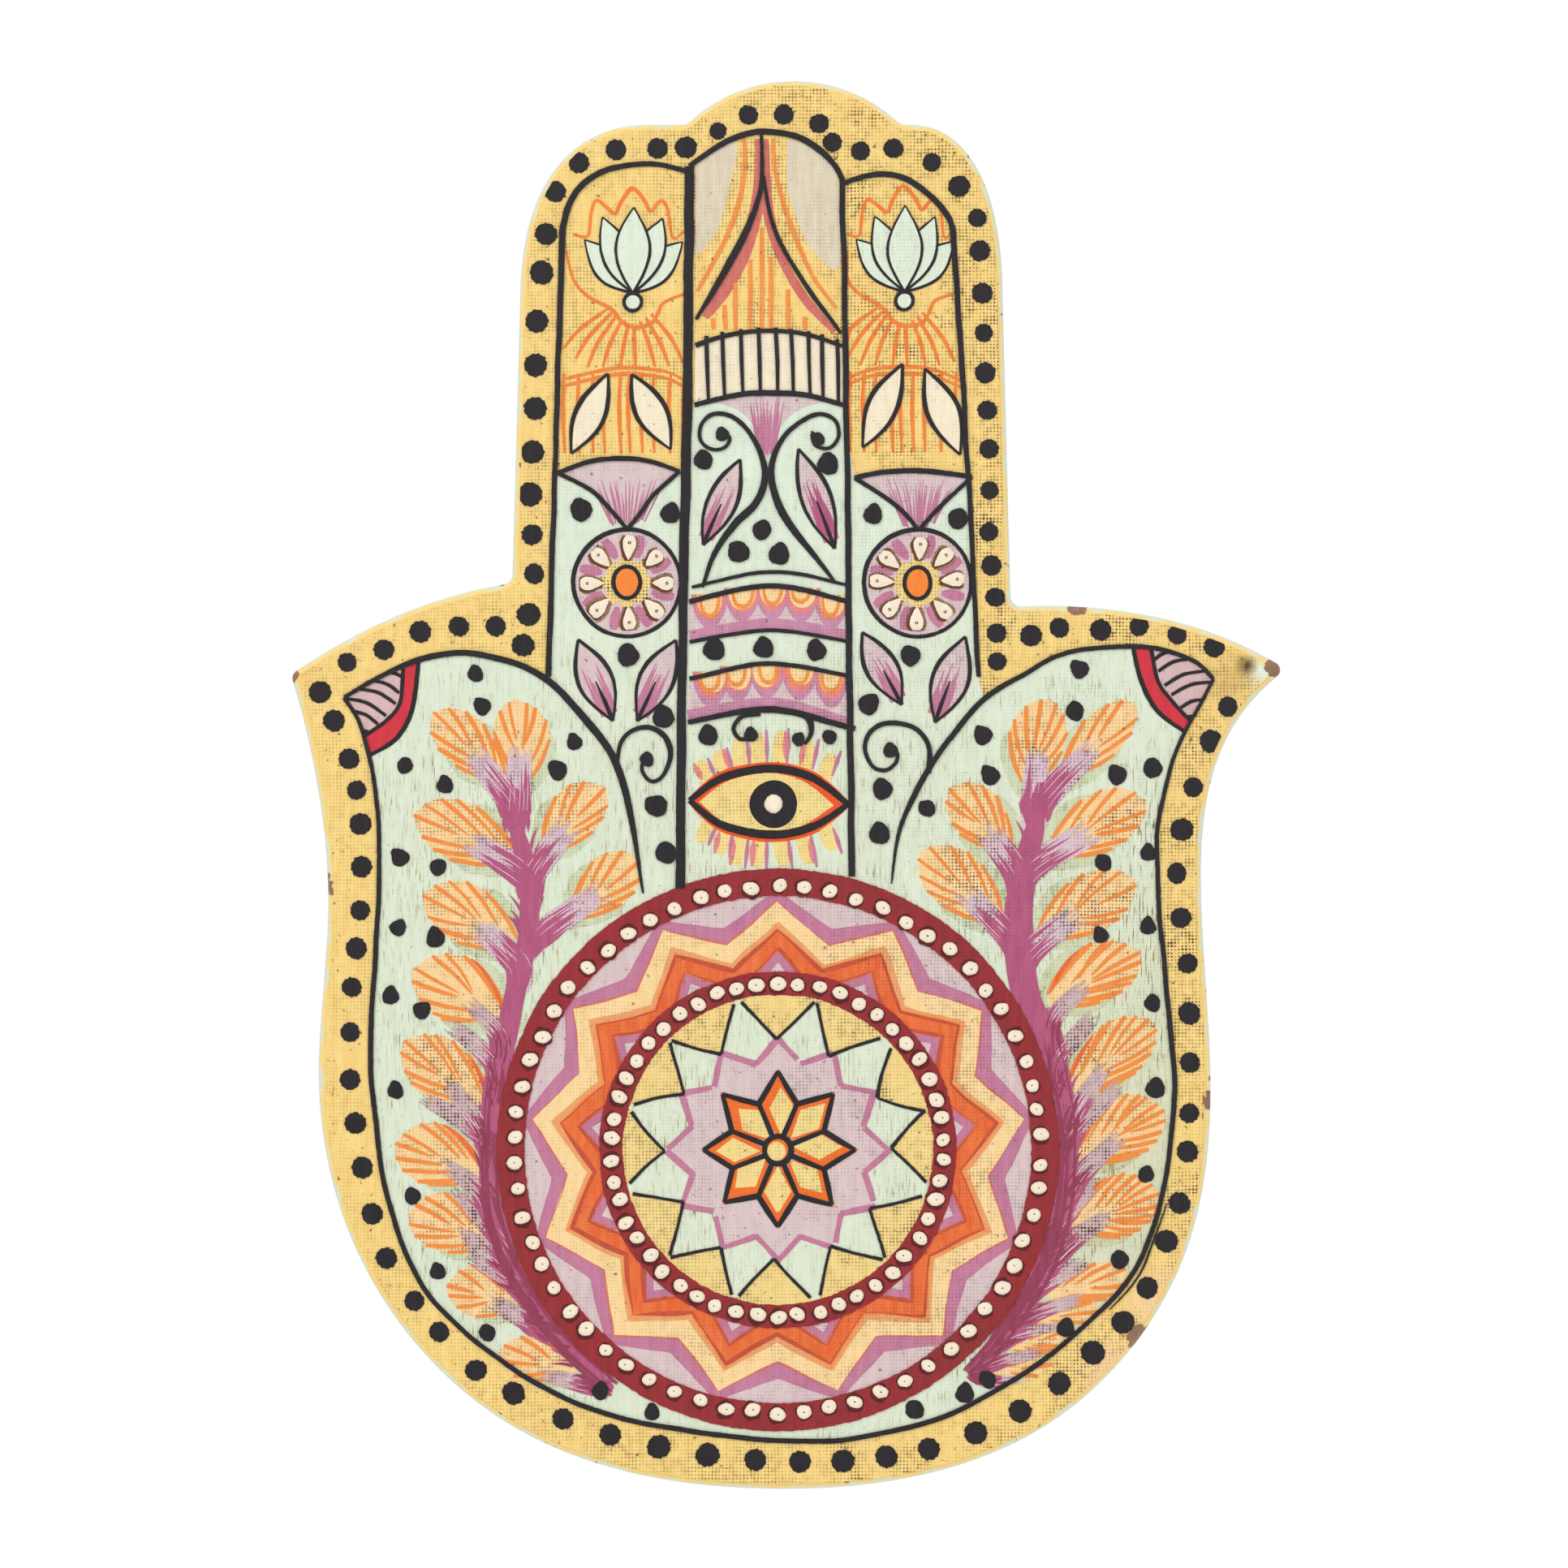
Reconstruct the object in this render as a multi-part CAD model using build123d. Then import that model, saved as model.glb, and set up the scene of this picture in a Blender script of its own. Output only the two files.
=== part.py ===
from build123d import *

import os
from math import cos, pi, radians

# A hamsa hand wall plaque: a sawn wooden board in the outline of a hand, faced with cotton
# cloth, set with raised drops of thick paint, and hung by a wire ring in a strap on its back.
# Millimetres. X is across the hand, Z up, and the back lies on the wall plane Y = 0, with the
# painted face towards -Y. The origin is the point of the wall where the ring bears on its nail.

# Board
HEIGHT = 300.0
BOARD_THICKNESS = 15.0
EDGE_ROUND = 1.3  # sanded round along the front edge
BACK_EDGE_ROUND = 0.8
NAIL_TO_TOP = 40.0  # from the nail up to the tip of the middle finger

# Fingers: three lobes on one straight-sided block that widens a little downwards
FINGERS_WIDTH_TOP = 102.8
FINGERS_WIDTH_FOOT = 106.2
FINGERS_SHIFT = -0.7  # the block's middle, right of the centre line
SIDE_LOBE_DROP = 9.3  # side fingertips below the middle one
SIDE_LOBE_DEPTH = 37.0  # from a side fingertip down to where the side runs straight
LEFT_LOBE_FLAT = 8.0  # level stretch of a side fingertip, next to the middle lobe
RIGHT_LOBE_FLAT = 2.0
MIDDLE_LOBE_WIDTH = 45.6
MIDDLE_LOBE_SHIFT = 6.2  # the middle lobe sits off the centre line, as it was sawn by eye
LOBE_NOTCH_ROUND = 2.5

# Thumbs: two flared tips of unlike reach
LEFT_FINGER_LENGTH = 107.0  # middle fingertip to the inner corner above the thumb
RIGHT_FINGER_LENGTH = 112.0
THUMBS_SPAN = 212.2  # from tip to tip, before the tips are rounded
THUMBS_SHIFT = 5.1  # their middle, right of the centre line
LEFT_THUMB_DROP = 126.5  # middle fingertip to the thumb's tip
RIGHT_THUMB_DROP = 125.4
LEFT_THUMB_CROWN = 3.2  # rise of the thumb's upper edge over a straight line
RIGHT_THUMB_CROWN = 4.9
LEFT_CROWN_PLACE = 0.5  # where along the edge it is fullest, from the inner corner to the tip
RIGHT_CROWN_PLACE = 0.6
THUMB_CORNER_ROUND = 2.2
THUMB_TIP_ROUND = 1.8

# Palm: the thumb's flare draws in to a waist, swells again and closes in a round base
FLARE_WIDTH = 192.4
FLARE_DROP = 145.3  # from the middle fingertip
WAIST_WIDTH = 186.0
WAIST_DROP = 175.0
PALM_WIDTH = 190.0
PALM_DROP = 214.0
HEEL_WIDTH = 175.6
HEEL_RISE = 49.4  # from the lowest point
HEEL_SHIFT = 1.5  # the base leans a little to the right
BASE_WIDTH = 118.2
BASE_RISE = 14.9
BASE_SHIFT = 2.9

# Cloth facing
CLOTH_THICKNESS = 0.5

# Medallion of two rings of raised drops in the palm
MEDALLION_RISE = 72.4  # its centre above the lowest point
MEDALLION_SHIFT = 2.8  # its centre right of the centre line
DROP_HEIGHT = 0.8
OUTER_RING_RADIUS = 55.9
OUTER_DROP_WIDTH = 3.4
OUTER_DROP_GAP = 2.2  # between two neighbouring drops
INNER_RING_RADIUS = 35.5
INNER_DROP_WIDTH = 3.3
INNER_DROP_GAP = 1.1

# Flowers of petal-shaped drops on the two side fingers
FLOWER_RISE = 193.0  # their centres above the lowest point
FLOWER_SPACING = 61.8  # between the two centres
FLOWER_SHIFT = 1.6
PETAL_COUNT = 8
PETAL_INNER_RADIUS = 4.4  # from the flower's centre to the petal's narrow end
PETAL_LENGTH = 5.8
PETAL_WIDTH = 3.2
PETAL_TIP_WIDTH = 0.8
PETAL_ROUND = 0.35  # along the petal's upper edge

# Pupil of the eye
EYE_RISE = 145.9
EYE_SHIFT = 1.9
PUPIL_WIDTH = 4.2

# Hanger: a wire ring in a folded strap, sunk in a routed pocket so that the back lies flat
POCKET_DEPTH = 5.0
POCKET_ROUND = 5.0  # radius of the router's cutter
POCKET_CLEARANCE = 3.0  # around the ring and the strap
WIRE_DIAMETER = 2.0
RING_WIDTH = 20.0  # between the wire's centre lines
RING_REACH = 14.0  # from the straight bar to the top of the bow
RING_BEND = 2.0  # radius of the wire's bend at each end of the bar
RING_LEAN = 3.0  # degrees, from upright towards the pocket's floor
STRAP_WIDTH = 12.0
STRAP_LENGTH = 24.0  # from the bar down to its end
STRAP_GAUGE = 1.0
STRAP_SEAM = 0.1  # between its two folded leaves
STRAP_END_ROUND = 3.0
BAR_CLEARANCE = 0.05
SCREW_DIAMETER = 3.0
SCREW_DEPTH = 6.5  # in the wood
SCREW_POINT = 1.8  # length of its conical tip
SCREW_HEAD_WIDTH = 5.2
SCREW_HEAD_HEIGHT = 1.3
SCREW_HEAD_ROUND = 0.6
CROSS_WIDTH = 0.8
CROSS_LENGTH = 3.0
CROSS_DEPTH = 0.8
UPPER_SCREW_DROP = 7.0  # from the bar
LOWER_SCREW_DROP = 19.5
SCREW_HOLE_CLEARANCE = 0.25
PILOT_CLEARANCE = 0.02
PILOT_END_CLEARANCE = 0.3

# Levels and planes that several pieces share
TOP = NAIL_TO_TOP
BOTTOM = TOP - HEIGHT
LOBE_TOP = TOP - SIDE_LOBE_DROP
LEFT_NOTCH = (MIDDLE_LOBE_SHIFT - MIDDLE_LOBE_WIDTH / 2, LOBE_TOP)
RIGHT_NOTCH = (MIDDLE_LOBE_SHIFT + MIDDLE_LOBE_WIDTH / 2, LOBE_TOP)
LEFT_SHOULDER = (FINGERS_SHIFT - FINGERS_WIDTH_TOP / 2, LOBE_TOP - SIDE_LOBE_DEPTH)
RIGHT_SHOULDER = (FINGERS_SHIFT + FINGERS_WIDTH_TOP / 2, LOBE_TOP - SIDE_LOBE_DEPTH)
LEFT_CORNER = (FINGERS_SHIFT - FINGERS_WIDTH_FOOT / 2, TOP - LEFT_FINGER_LENGTH)
RIGHT_CORNER = (FINGERS_SHIFT + FINGERS_WIDTH_FOOT / 2, TOP - RIGHT_FINGER_LENGTH)
LEFT_TIP = (THUMBS_SHIFT - THUMBS_SPAN / 2, TOP - LEFT_THUMB_DROP)
RIGHT_TIP = (THUMBS_SHIFT + THUMBS_SPAN / 2, TOP - RIGHT_THUMB_DROP)
PAINTED_FACE = Plane.XZ.offset(BOARD_THICKNESS + CLOTH_THICKNESS)
WIRE = WIRE_DIAMETER / 2
KNUCKLE_BORE = WIRE + BAR_CLEARANCE
KNUCKLE = KNUCKLE_BORE + STRAP_GAUGE
STRAP_THICKNESS = 2 * STRAP_GAUGE
POCKET_FLOOR = -POCKET_DEPTH
BAR_Y = POCKET_FLOOR + KNUCKLE
BAR_Z = -(RING_REACH - WIRE) * cos(radians(RING_LEAN))


def side_lobe(shoulder, notch, flat):
    """A side fingertip, from the straight side over to a level stretch beside the middle lobe."""
    side = 1 if shoulder[0] > 0 else -1
    flat_end = (notch[0] + side * flat, notch[1])
    rise = notch[1] - shoulder[1]
    span = shoulder[0] - flat_end[0]
    corner = Bezier(
        shoulder,
        (shoulder[0], shoulder[1] + 0.63 * rise),
        (flat_end[0] + 0.63 * span, flat_end[1]),
        flat_end,
    )
    return [corner, Line(flat_end, notch)]


def crowned(start, end, rise, place):
    """A thumb's upper edge: a shallow bow that stands over the straight line by rise."""
    along = (start[0] + place * (end[0] - start[0]), start[1] + place * (end[1] - start[1]))
    return Bezier(start, (along[0], along[1] + 2 * rise), end)


def palm():
    """The palm's edge, from the left thumb's tip round the base to the right thumb's tip."""
    levels = (
        (FLARE_WIDTH, 0, TOP - FLARE_DROP),
        (WAIST_WIDTH, 0, TOP - WAIST_DROP),
        (PALM_WIDTH, 0, TOP - PALM_DROP),
        (HEEL_WIDTH, HEEL_SHIFT, BOTTOM + HEEL_RISE),
        (BASE_WIDTH, BASE_SHIFT, BOTTOM + BASE_RISE),
    )
    left = [(shift - width / 2, z) for width, shift, z in levels]
    right = [(shift + width / 2, z) for width, shift, z in reversed(levels)]
    return Spline(LEFT_TIP, *left, (BASE_SHIFT, BOTTOM), *right, RIGHT_TIP)


def hand_outline():
    """The face of the sawn hand, with sharp corners."""
    edges = side_lobe(LEFT_SHOULDER, LEFT_NOTCH, LEFT_LOBE_FLAT)
    edges += side_lobe(RIGHT_SHOULDER, RIGHT_NOTCH, RIGHT_LOBE_FLAT)
    edges += [
        ThreePointArc(LEFT_NOTCH, (MIDDLE_LOBE_SHIFT, TOP), RIGHT_NOTCH),
        Line(LEFT_SHOULDER, LEFT_CORNER),
        Line(RIGHT_SHOULDER, RIGHT_CORNER),
        crowned(LEFT_CORNER, LEFT_TIP, LEFT_THUMB_CROWN, LEFT_CROWN_PLACE),
        crowned(RIGHT_CORNER, RIGHT_TIP, RIGHT_THUMB_CROWN, RIGHT_CROWN_PLACE),
        palm(),
    ]
    return make_face(edges)


def round_uprights(board, places, radius):
    """Rounds the board's edges that run from back to front at the given places."""
    edges = board.edges().filter_by(Axis.Y)
    picked = [edges.sort_by_distance((x, -BOARD_THICKNESS / 2, z))[0] for x, z in places]
    return fillet(picked, radius)


def hanger_pocket():
    """The recess routed in the board's back for the ring, upright, and the strap below it."""
    top = BAR_Z + RING_REACH + WIRE + POCKET_CLEARANCE
    foot = BAR_Z - STRAP_LENGTH - POCKET_CLEARANCE
    width = RING_WIDTH + WIRE_DIAMETER + 2 * POCKET_CLEARANCE
    outline = Pos(0, (top + foot) / 2) * RectangleRounded(width, top - foot, POCKET_ROUND)
    return extrude(Plane.XZ * outline, POCKET_DEPTH)


def screw_holes(clearance, depth):
    """Plugs for the two screws' holes, from the strap's outer side to a depth in the wood."""
    length = STRAP_THICKNESS + depth
    plug = Rot(90, 0, 0) * Cylinder(SCREW_DIAMETER / 2 + clearance, length)
    middle = POCKET_FLOOR + STRAP_THICKNESS - length / 2
    drops = (UPPER_SCREW_DROP, LOWER_SCREW_DROP)
    return [Pos(0, middle, BAR_Z - drop) * plug for drop in drops]


def make_board():
    """The sawn board, its edges rounded, with the hanger's pocket and the pilot holes."""
    board = extrude(Plane.XZ * hand_outline(), BOARD_THICKNESS)
    board = round_uprights(board, (LEFT_NOTCH, RIGHT_NOTCH), LOBE_NOTCH_ROUND)
    board = round_uprights(board, (LEFT_CORNER, RIGHT_CORNER), THUMB_CORNER_ROUND)
    board = round_uprights(board, (LEFT_TIP, RIGHT_TIP), THUMB_TIP_ROUND)
    board = fillet(board.faces().sort_by(Axis.Y)[0].edges(), EDGE_ROUND)
    board = fillet(board.faces().sort_by(Axis.Y)[-1].edges(), BACK_EDGE_ROUND)
    board -= hanger_pocket()
    board -= screw_holes(PILOT_CLEARANCE, SCREW_DEPTH + PILOT_END_CLEARANCE)
    return board


def make_cloth(board):
    """The cloth, cut to the flat of the board's front and glued to it."""
    return extrude(board.faces().sort_by(Axis.Y)[0], CLOTH_THICKNESS)


def round_drop(width):
    """One round drop of thick paint, a shallow cap on the painted face."""
    radius = (width**2 / 4 + DROP_HEIGHT**2) / (2 * DROP_HEIGHT)
    ball = Pos(0, 0, DROP_HEIGHT - radius) * Sphere(radius)
    return split(ball, Plane.XY, Keep.TOP)


def ring_of_drops(radius, width, gap):
    """A ring of drops round the medallion's centre, as many as the width and gap leave room for."""
    count = int(2 * pi * radius / (width + gap))
    centre = Pos(MEDALLION_SHIFT, BOTTOM + MEDALLION_RISE)
    drop = round_drop(width)
    places = PolarLocations(radius, count)
    return Compound([PAINTED_FACE * centre * place * drop for place in places])


def petal():
    """One petal-shaped drop, narrow towards the flower's centre."""
    wide = PETAL_WIDTH / 2
    narrow = PETAL_TIP_WIDTH / 2
    wide_end = Pos(PETAL_INNER_RADIUS + PETAL_LENGTH - wide, 0) * Circle(wide)
    narrow_end = Pos(PETAL_INNER_RADIUS + narrow, 0) * Circle(narrow)
    outline = make_hull(wide_end.edges() + narrow_end.edges())
    drop = extrude(outline, DROP_HEIGHT)
    return fillet(drop.faces().sort_by(Axis.Z)[-1].edges(), PETAL_ROUND)


def flower(side):
    """The ring of petals on one side finger; side is -1 for the left and 1 for the right."""
    centre = Pos(FLOWER_SHIFT + side * FLOWER_SPACING / 2, BOTTOM + FLOWER_RISE)
    drop = petal()
    turns = [Rot(0, 0, 360 * index / PETAL_COUNT) for index in range(PETAL_COUNT)]
    return Compound([PAINTED_FACE * centre * turn * drop for turn in turns])


def make_pupil():
    """The pale dab in the middle of the eye."""
    return PAINTED_FACE * Pos(EYE_SHIFT, BOTTOM + EYE_RISE) * round_drop(PUPIL_WIDTH)


def make_strap():
    """The hanger's strap, folded round the ring's bar, its two leaves flat on the pocket floor."""
    leaves = Pos(POCKET_FLOOR + STRAP_GAUGE, BAR_Z - STRAP_LENGTH / 2) * Rectangle(
        STRAP_THICKNESS, STRAP_LENGTH
    )
    seam_length = STRAP_LENGTH - KNUCKLE
    seam_middle = BAR_Z - STRAP_LENGTH + seam_length / 2
    seam = Pos(POCKET_FLOOR + STRAP_GAUGE, seam_middle) * Rectangle(STRAP_SEAM, seam_length)
    bar = Pos(BAR_Y, BAR_Z)
    profile = leaves + bar * Circle(KNUCKLE) - bar * Circle(KNUCKLE_BORE) - seam
    strap = extrude(Plane.YZ * profile, STRAP_WIDTH / 2, both=True)
    strap = fillet(strap.edges().filter_by(Axis.Y).group_by(Axis.Z)[0], STRAP_END_ROUND)
    return strap - screw_holes(SCREW_HOLE_CLEARANCE, 0)


def make_ring():
    """The wire ring: a straight bar, two short legs and a half-round bow, leaning on its stop."""
    half = RING_WIDTH / 2
    leg = RING_REACH - half
    bend = half - RING_BEND
    path = Wire(
        [
            Line((-bend, 0), (bend, 0)),
            CenterArc((bend, RING_BEND), RING_BEND, -90, 90),
            Line((half, RING_BEND), (half, leg)),
            CenterArc((0, leg), half, 0, 180),
            Line((-half, leg), (-half, RING_BEND)),
            CenterArc((-bend, RING_BEND), RING_BEND, 180, 90),
        ]
    )
    wire_section = Plane(origin=path @ 0, z_dir=path % 0) * Circle(WIRE)
    ring = sweep(wire_section, path)
    return Pos(0, BAR_Y, BAR_Z) * Rot(RING_LEAN, 0, 0) * (Plane.XZ * ring)


def make_screw(drop):
    """A cross-recessed wood screw, its head on the strap at the given drop below the bar."""
    head = extrude(Circle(SCREW_HEAD_WIDTH / 2), SCREW_HEAD_HEIGHT)
    head = fillet(head.faces().sort_by(Axis.Z)[-1].edges(), SCREW_HEAD_ROUND)
    recess = Pos(0, 0, SCREW_HEAD_HEIGHT - CROSS_DEPTH / 2)
    slot = recess * Box(CROSS_LENGTH, CROSS_WIDTH, CROSS_DEPTH)
    head -= [slot, Rot(0, 0, 90) * slot]
    straight = STRAP_THICKNESS + SCREW_DEPTH - SCREW_POINT
    shank = extrude(Circle(SCREW_DIAMETER / 2), -straight)
    point = Pos(0, 0, -straight - SCREW_POINT / 2) * Rot(180, 0, 0)
    point *= Cone(SCREW_DIAMETER / 2, 0, SCREW_POINT)
    seat = Pos(0, POCKET_FLOOR + STRAP_THICKNESS, BAR_Z - drop)
    return seat * Rot(-90, 0, 0) * (head + shank + point)


board = make_board()
pieces = {
    "board": board,
    "cloth_facing": make_cloth(board),
    "outer_ring_drops": ring_of_drops(OUTER_RING_RADIUS, OUTER_DROP_WIDTH, OUTER_DROP_GAP),
    "inner_ring_drops": ring_of_drops(INNER_RING_RADIUS, INNER_DROP_WIDTH, INNER_DROP_GAP),
    "left_flower_drops": flower(-1),
    "right_flower_drops": flower(1),
    "eye_drop": make_pupil(),
    "hanger_strap": make_strap(),
    "hanger_ring": make_ring(),
    "hanger_screw_upper": make_screw(UPPER_SCREW_DROP),
    "hanger_screw_lower": make_screw(LOWER_SCREW_DROP),
}

os.makedirs("parts", exist_ok=True)
for name, shape in pieces.items():
    export_step(shape, f"parts/{name}.step")
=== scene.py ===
"""Hamsa hand wall plaque: a sawn board faced with cotton, painted with folk ornament and hung by a ring."""
import math
import random

import bmesh
import bpy
from mathutils import Matrix, Vector, noise
from mathutils.bvhtree import BVHTree
from mathutils.geometry import interpolate_bezier


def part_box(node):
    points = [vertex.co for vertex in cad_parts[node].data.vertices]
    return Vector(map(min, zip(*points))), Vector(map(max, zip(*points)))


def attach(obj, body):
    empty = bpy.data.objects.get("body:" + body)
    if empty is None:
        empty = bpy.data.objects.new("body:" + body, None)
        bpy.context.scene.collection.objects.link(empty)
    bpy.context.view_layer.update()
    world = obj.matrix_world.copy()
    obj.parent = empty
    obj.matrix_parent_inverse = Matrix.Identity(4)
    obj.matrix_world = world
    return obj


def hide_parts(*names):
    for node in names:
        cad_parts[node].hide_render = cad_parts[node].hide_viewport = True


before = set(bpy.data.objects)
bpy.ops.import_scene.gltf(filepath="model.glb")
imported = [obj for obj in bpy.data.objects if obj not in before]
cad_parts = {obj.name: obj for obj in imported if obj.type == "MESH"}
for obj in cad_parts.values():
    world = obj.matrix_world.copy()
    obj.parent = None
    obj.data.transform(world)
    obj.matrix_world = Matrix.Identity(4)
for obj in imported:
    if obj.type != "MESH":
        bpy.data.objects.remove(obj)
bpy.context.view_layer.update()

# Camera
# It looks straight at the painted face, as the photograph does, through a long lens that keeps
# the sawn outline nearly free of perspective.
MM = 0.001
LENS = 100
SENSOR = 36
PICTURE_WIDTH = 333.5 * MM
PICTURE_CENTRE_X = 4.1 * MM
PICTURE_CENTRE_Z = -109.8 * MM
face_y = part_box("cloth_facing")[0].y
lens_distance = PICTURE_WIDTH * LENS / SENSOR

camera_data = bpy.data.cameras.new("camera")
camera_data.lens = LENS
camera_data.sensor_width = SENSOR
camera = bpy.data.objects.new("camera", camera_data)
camera.location = (PICTURE_CENTRE_X, face_y - lens_distance, PICTURE_CENTRE_Z)
camera.rotation_euler = (math.radians(90), 0, 0)
bpy.context.scene.collection.objects.link(camera)
bpy.context.scene.camera = camera
bpy.context.scene.view_settings.view_transform = "Standard"


# Studio
# A white room of soft light, two large lamps in front and one behind, and a round pale floor below
# the hanging plaque, which takes its shadow and fades into the white of the room.
WHITE = "FFFFFF"
ROOM_LIGHT = 0.60
FLOOR_DROP = 200 * MM
FLOOR_RADIUS = 700 * MM
FLOOR_FADE_FROM = 300 * MM
KEY_LAMP = {"place": (-0.7, -1.1, 0.7), "size": 0.9, "power": 9.0}
FILL_LAMP = {"place": (0.8, -1.2, 0.1), "size": 1.2, "power": 5.0}
BACK_LAMP = {"place": (0.3, 1.3, 0.6), "size": 1.2, "power": 9.0}


def linear(hex_colour):
    """An sRGB hex colour as linear red, green, blue and alpha."""
    parts = [int(hex_colour[i:i + 2], 16) / 255 for i in (0, 2, 4)]
    return [c / 12.92 if c <= 0.04045 else ((c + 0.055) / 1.055) ** 2.4 for c in parts] + [1]


def give(node, inputs):
    """Sets a node's inputs, each to a value or to a link from a socket."""
    for socket, value in inputs.items():
        if isinstance(value, bpy.types.NodeSocket):
            node.id_data.links.new(value, node.inputs[socket])
        else:
            node.inputs[socket].default_value = value


def add(nodes, kind, inputs=None, **settings):
    """Adds a shader node with its inputs and its settings by name."""
    node = nodes.new("ShaderNode" + kind)
    for name, value in settings.items():
        setattr(node, name, value)
    give(node, inputs or {})
    return node


def maths(nodes, operation, *values, **settings):
    """The result of a sum on values or sockets."""
    return add(nodes, "Math", dict(enumerate(values)), operation=operation, **settings).outputs[0]


def ramp(nodes, value, start, end, low=0.0, high=1.0, **settings):
    """Goes from low to high as the value goes from start to end."""
    span = {"Value": value, "From Min": start, "From Max": end, "To Min": low, "To Max": high}
    return add(nodes, "MapRange", span, **settings).outputs[0]


def mix(nodes, share, under, over, blend="MIX"):
    """One colour over another by a share. A colour is a hex value or a socket."""
    under, over = (linear(colour) if isinstance(colour, str) else colour for colour in (under, over))
    return add(nodes, "MixRGB", {"Fac": share, "Color1": under, "Color2": over},
               blend_type=blend).outputs[0]


def finish(name):
    """A new material with its nodes, its main shader and the place on the object."""
    material = bpy.data.materials.new(name)
    material.use_nodes = True
    nodes = material.node_tree.nodes
    return material, nodes, nodes["Principled BSDF"], add(nodes, "TexCoord").outputs["Object"]


world = bpy.data.worlds.new("white room")
world.use_nodes = True
bpy.context.scene.world = world
nodes = world.node_tree.nodes
rays = add(nodes, "LightPath").outputs
seen = maths(nodes, "MAXIMUM", rays["Is Camera Ray"], rays["Is Glossy Ray"])
seen = maths(nodes, "MAXIMUM", seen, rays["Is Transmission Ray"])
give(nodes["Background"], {"Color": linear(WHITE), "Strength": ramp(nodes, seen, 0, 1, ROOM_LIGHT)})

for lamp_name, lamp in (("key", KEY_LAMP), ("fill", FILL_LAMP), ("back", BACK_LAMP)):
    light = bpy.data.lights.new(lamp_name + " lamp", "AREA")
    light.size = lamp["size"]
    light.energy = lamp["power"]
    holder = bpy.data.objects.new(lamp_name + "_lamp", light)
    holder.location = lamp["place"]
    aim = Vector((0, 0, PICTURE_CENTRE_Z)) - holder.location
    holder.rotation_euler = aim.to_track_quat("-Z", "Y").to_euler()
    bpy.context.scene.collection.objects.link(holder)

floor_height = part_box("board")[0].z - FLOOR_DROP
floor_bmesh = bmesh.new()
bmesh.ops.create_circle(floor_bmesh, cap_ends=True, segments=96, radius=FLOOR_RADIUS,
                        matrix=Matrix.Translation((0, 0, floor_height)))
floor_mesh = bpy.data.meshes.new("studio_floor")
floor_bmesh.to_mesh(floor_mesh)
floor = bpy.data.objects.new("studio_floor", floor_mesh)
bpy.context.scene.collection.objects.link(floor)

# Pale matt board that melts into the room's white towards its rim.
floor_paint, nodes, shader, place = finish("pale floor")
give(shader, {"Base Color": linear("F4F4F2"), "Roughness": 0.9})
flat = add(nodes, "VectorMath", {0: place, 1: (1, 1, 0)}, operation="MULTIPLY").outputs[0]
reach = add(nodes, "VectorMath", {0: flat}, operation="LENGTH").outputs["Value"]
fade = ramp(nodes, reach, FLOOR_FADE_FROM, FLOOR_RADIUS, interpolation_type="SMOOTHSTEP")
white = add(nodes, "Emission", {"Color": linear(WHITE), "Strength": 1.0}).outputs[0]
blend = add(nodes, "MixShader", {0: fade, 1: shader.outputs[0], 2: white}).outputs[0]
give(nodes["Material Output"], {"Surface": blend})
floor_mesh.materials.append(floor_paint)


# Board
# A sawn and sanded wooden board. The gold of the face runs over its rounded front edge, the sides
# carry a matt mint coat that is chipped to the brown wood, and the back is bare.
EDGE_WANDER = 2.0
GOLD_WHOLE = 1.65
GOLD_ENDS = 2.05
BARE_WHOLE = 0.3
POCKET_CENTRE_Z = -13
POCKET_REACH = 35
MINT = "DEE9D6"
MINT_SHADE = "D3DFC8"
GOLD = "F5D586"
GOLD_SHADE = "EBC574"
WOOD = "8E6B55"
WOOD_DARK = "6B4A3A"
WOOD_LIGHT = "B08A70"
CHIPS = [(-101.3, -86.5, 2.4), (108.8, -84.9, 2.5), (-96.2, -131, 4.4), (80.2, -227.6, 3.2),
         (96.2, -177, 3.0), (66.5, -71.6, 2.6)]


def clouds(nodes, place, size, detail, roughness=0.5):
    """Soft noise from 0 to 1 whose clouds are about size mm wide."""
    look = {"Vector": place, "Scale": 1 / (size * MM), "Detail": detail, "Roughness": roughness}
    return add(nodes, "TexNoise", look).outputs[0]


def fibres(nodes, place, sizes, detail):
    """Noise drawn out to fibres, with their sizes (mm) along X, Y and Z."""
    drawn = add(nodes, "Mapping", {"Vector": place, "Scale": [1 / (size * MM) for size in sizes]})
    return add(nodes, "TexNoise", {"Vector": drawn.outputs[0], "Scale": 1.0, "Detail": detail}).outputs[0]


def away(nodes, place, x, y, z):
    """The distance from a spot."""
    return add(nodes, "VectorMath", {0: place, 1: (x, y, z)}, operation="DISTANCE").outputs["Value"]


def chip_mask(nodes, place):
    """Where knocks have taken the paint off the edge: 1 in a chip, 0 elsewhere."""
    rough = clouds(nodes, place, 1.6, 3)
    total = 0
    for x, z, size in CHIPS:
        distance = away(nodes, place, x * MM, face_y, z * MM)
        ragged = maths(nodes, "MULTIPLY_ADD", rough, size * MM, distance)
        inside = ramp(nodes, ragged, 1.5 * size * MM, 1.4 * size * MM)
        total = maths(nodes, "MAXIMUM", total, inside)
    return total


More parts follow.
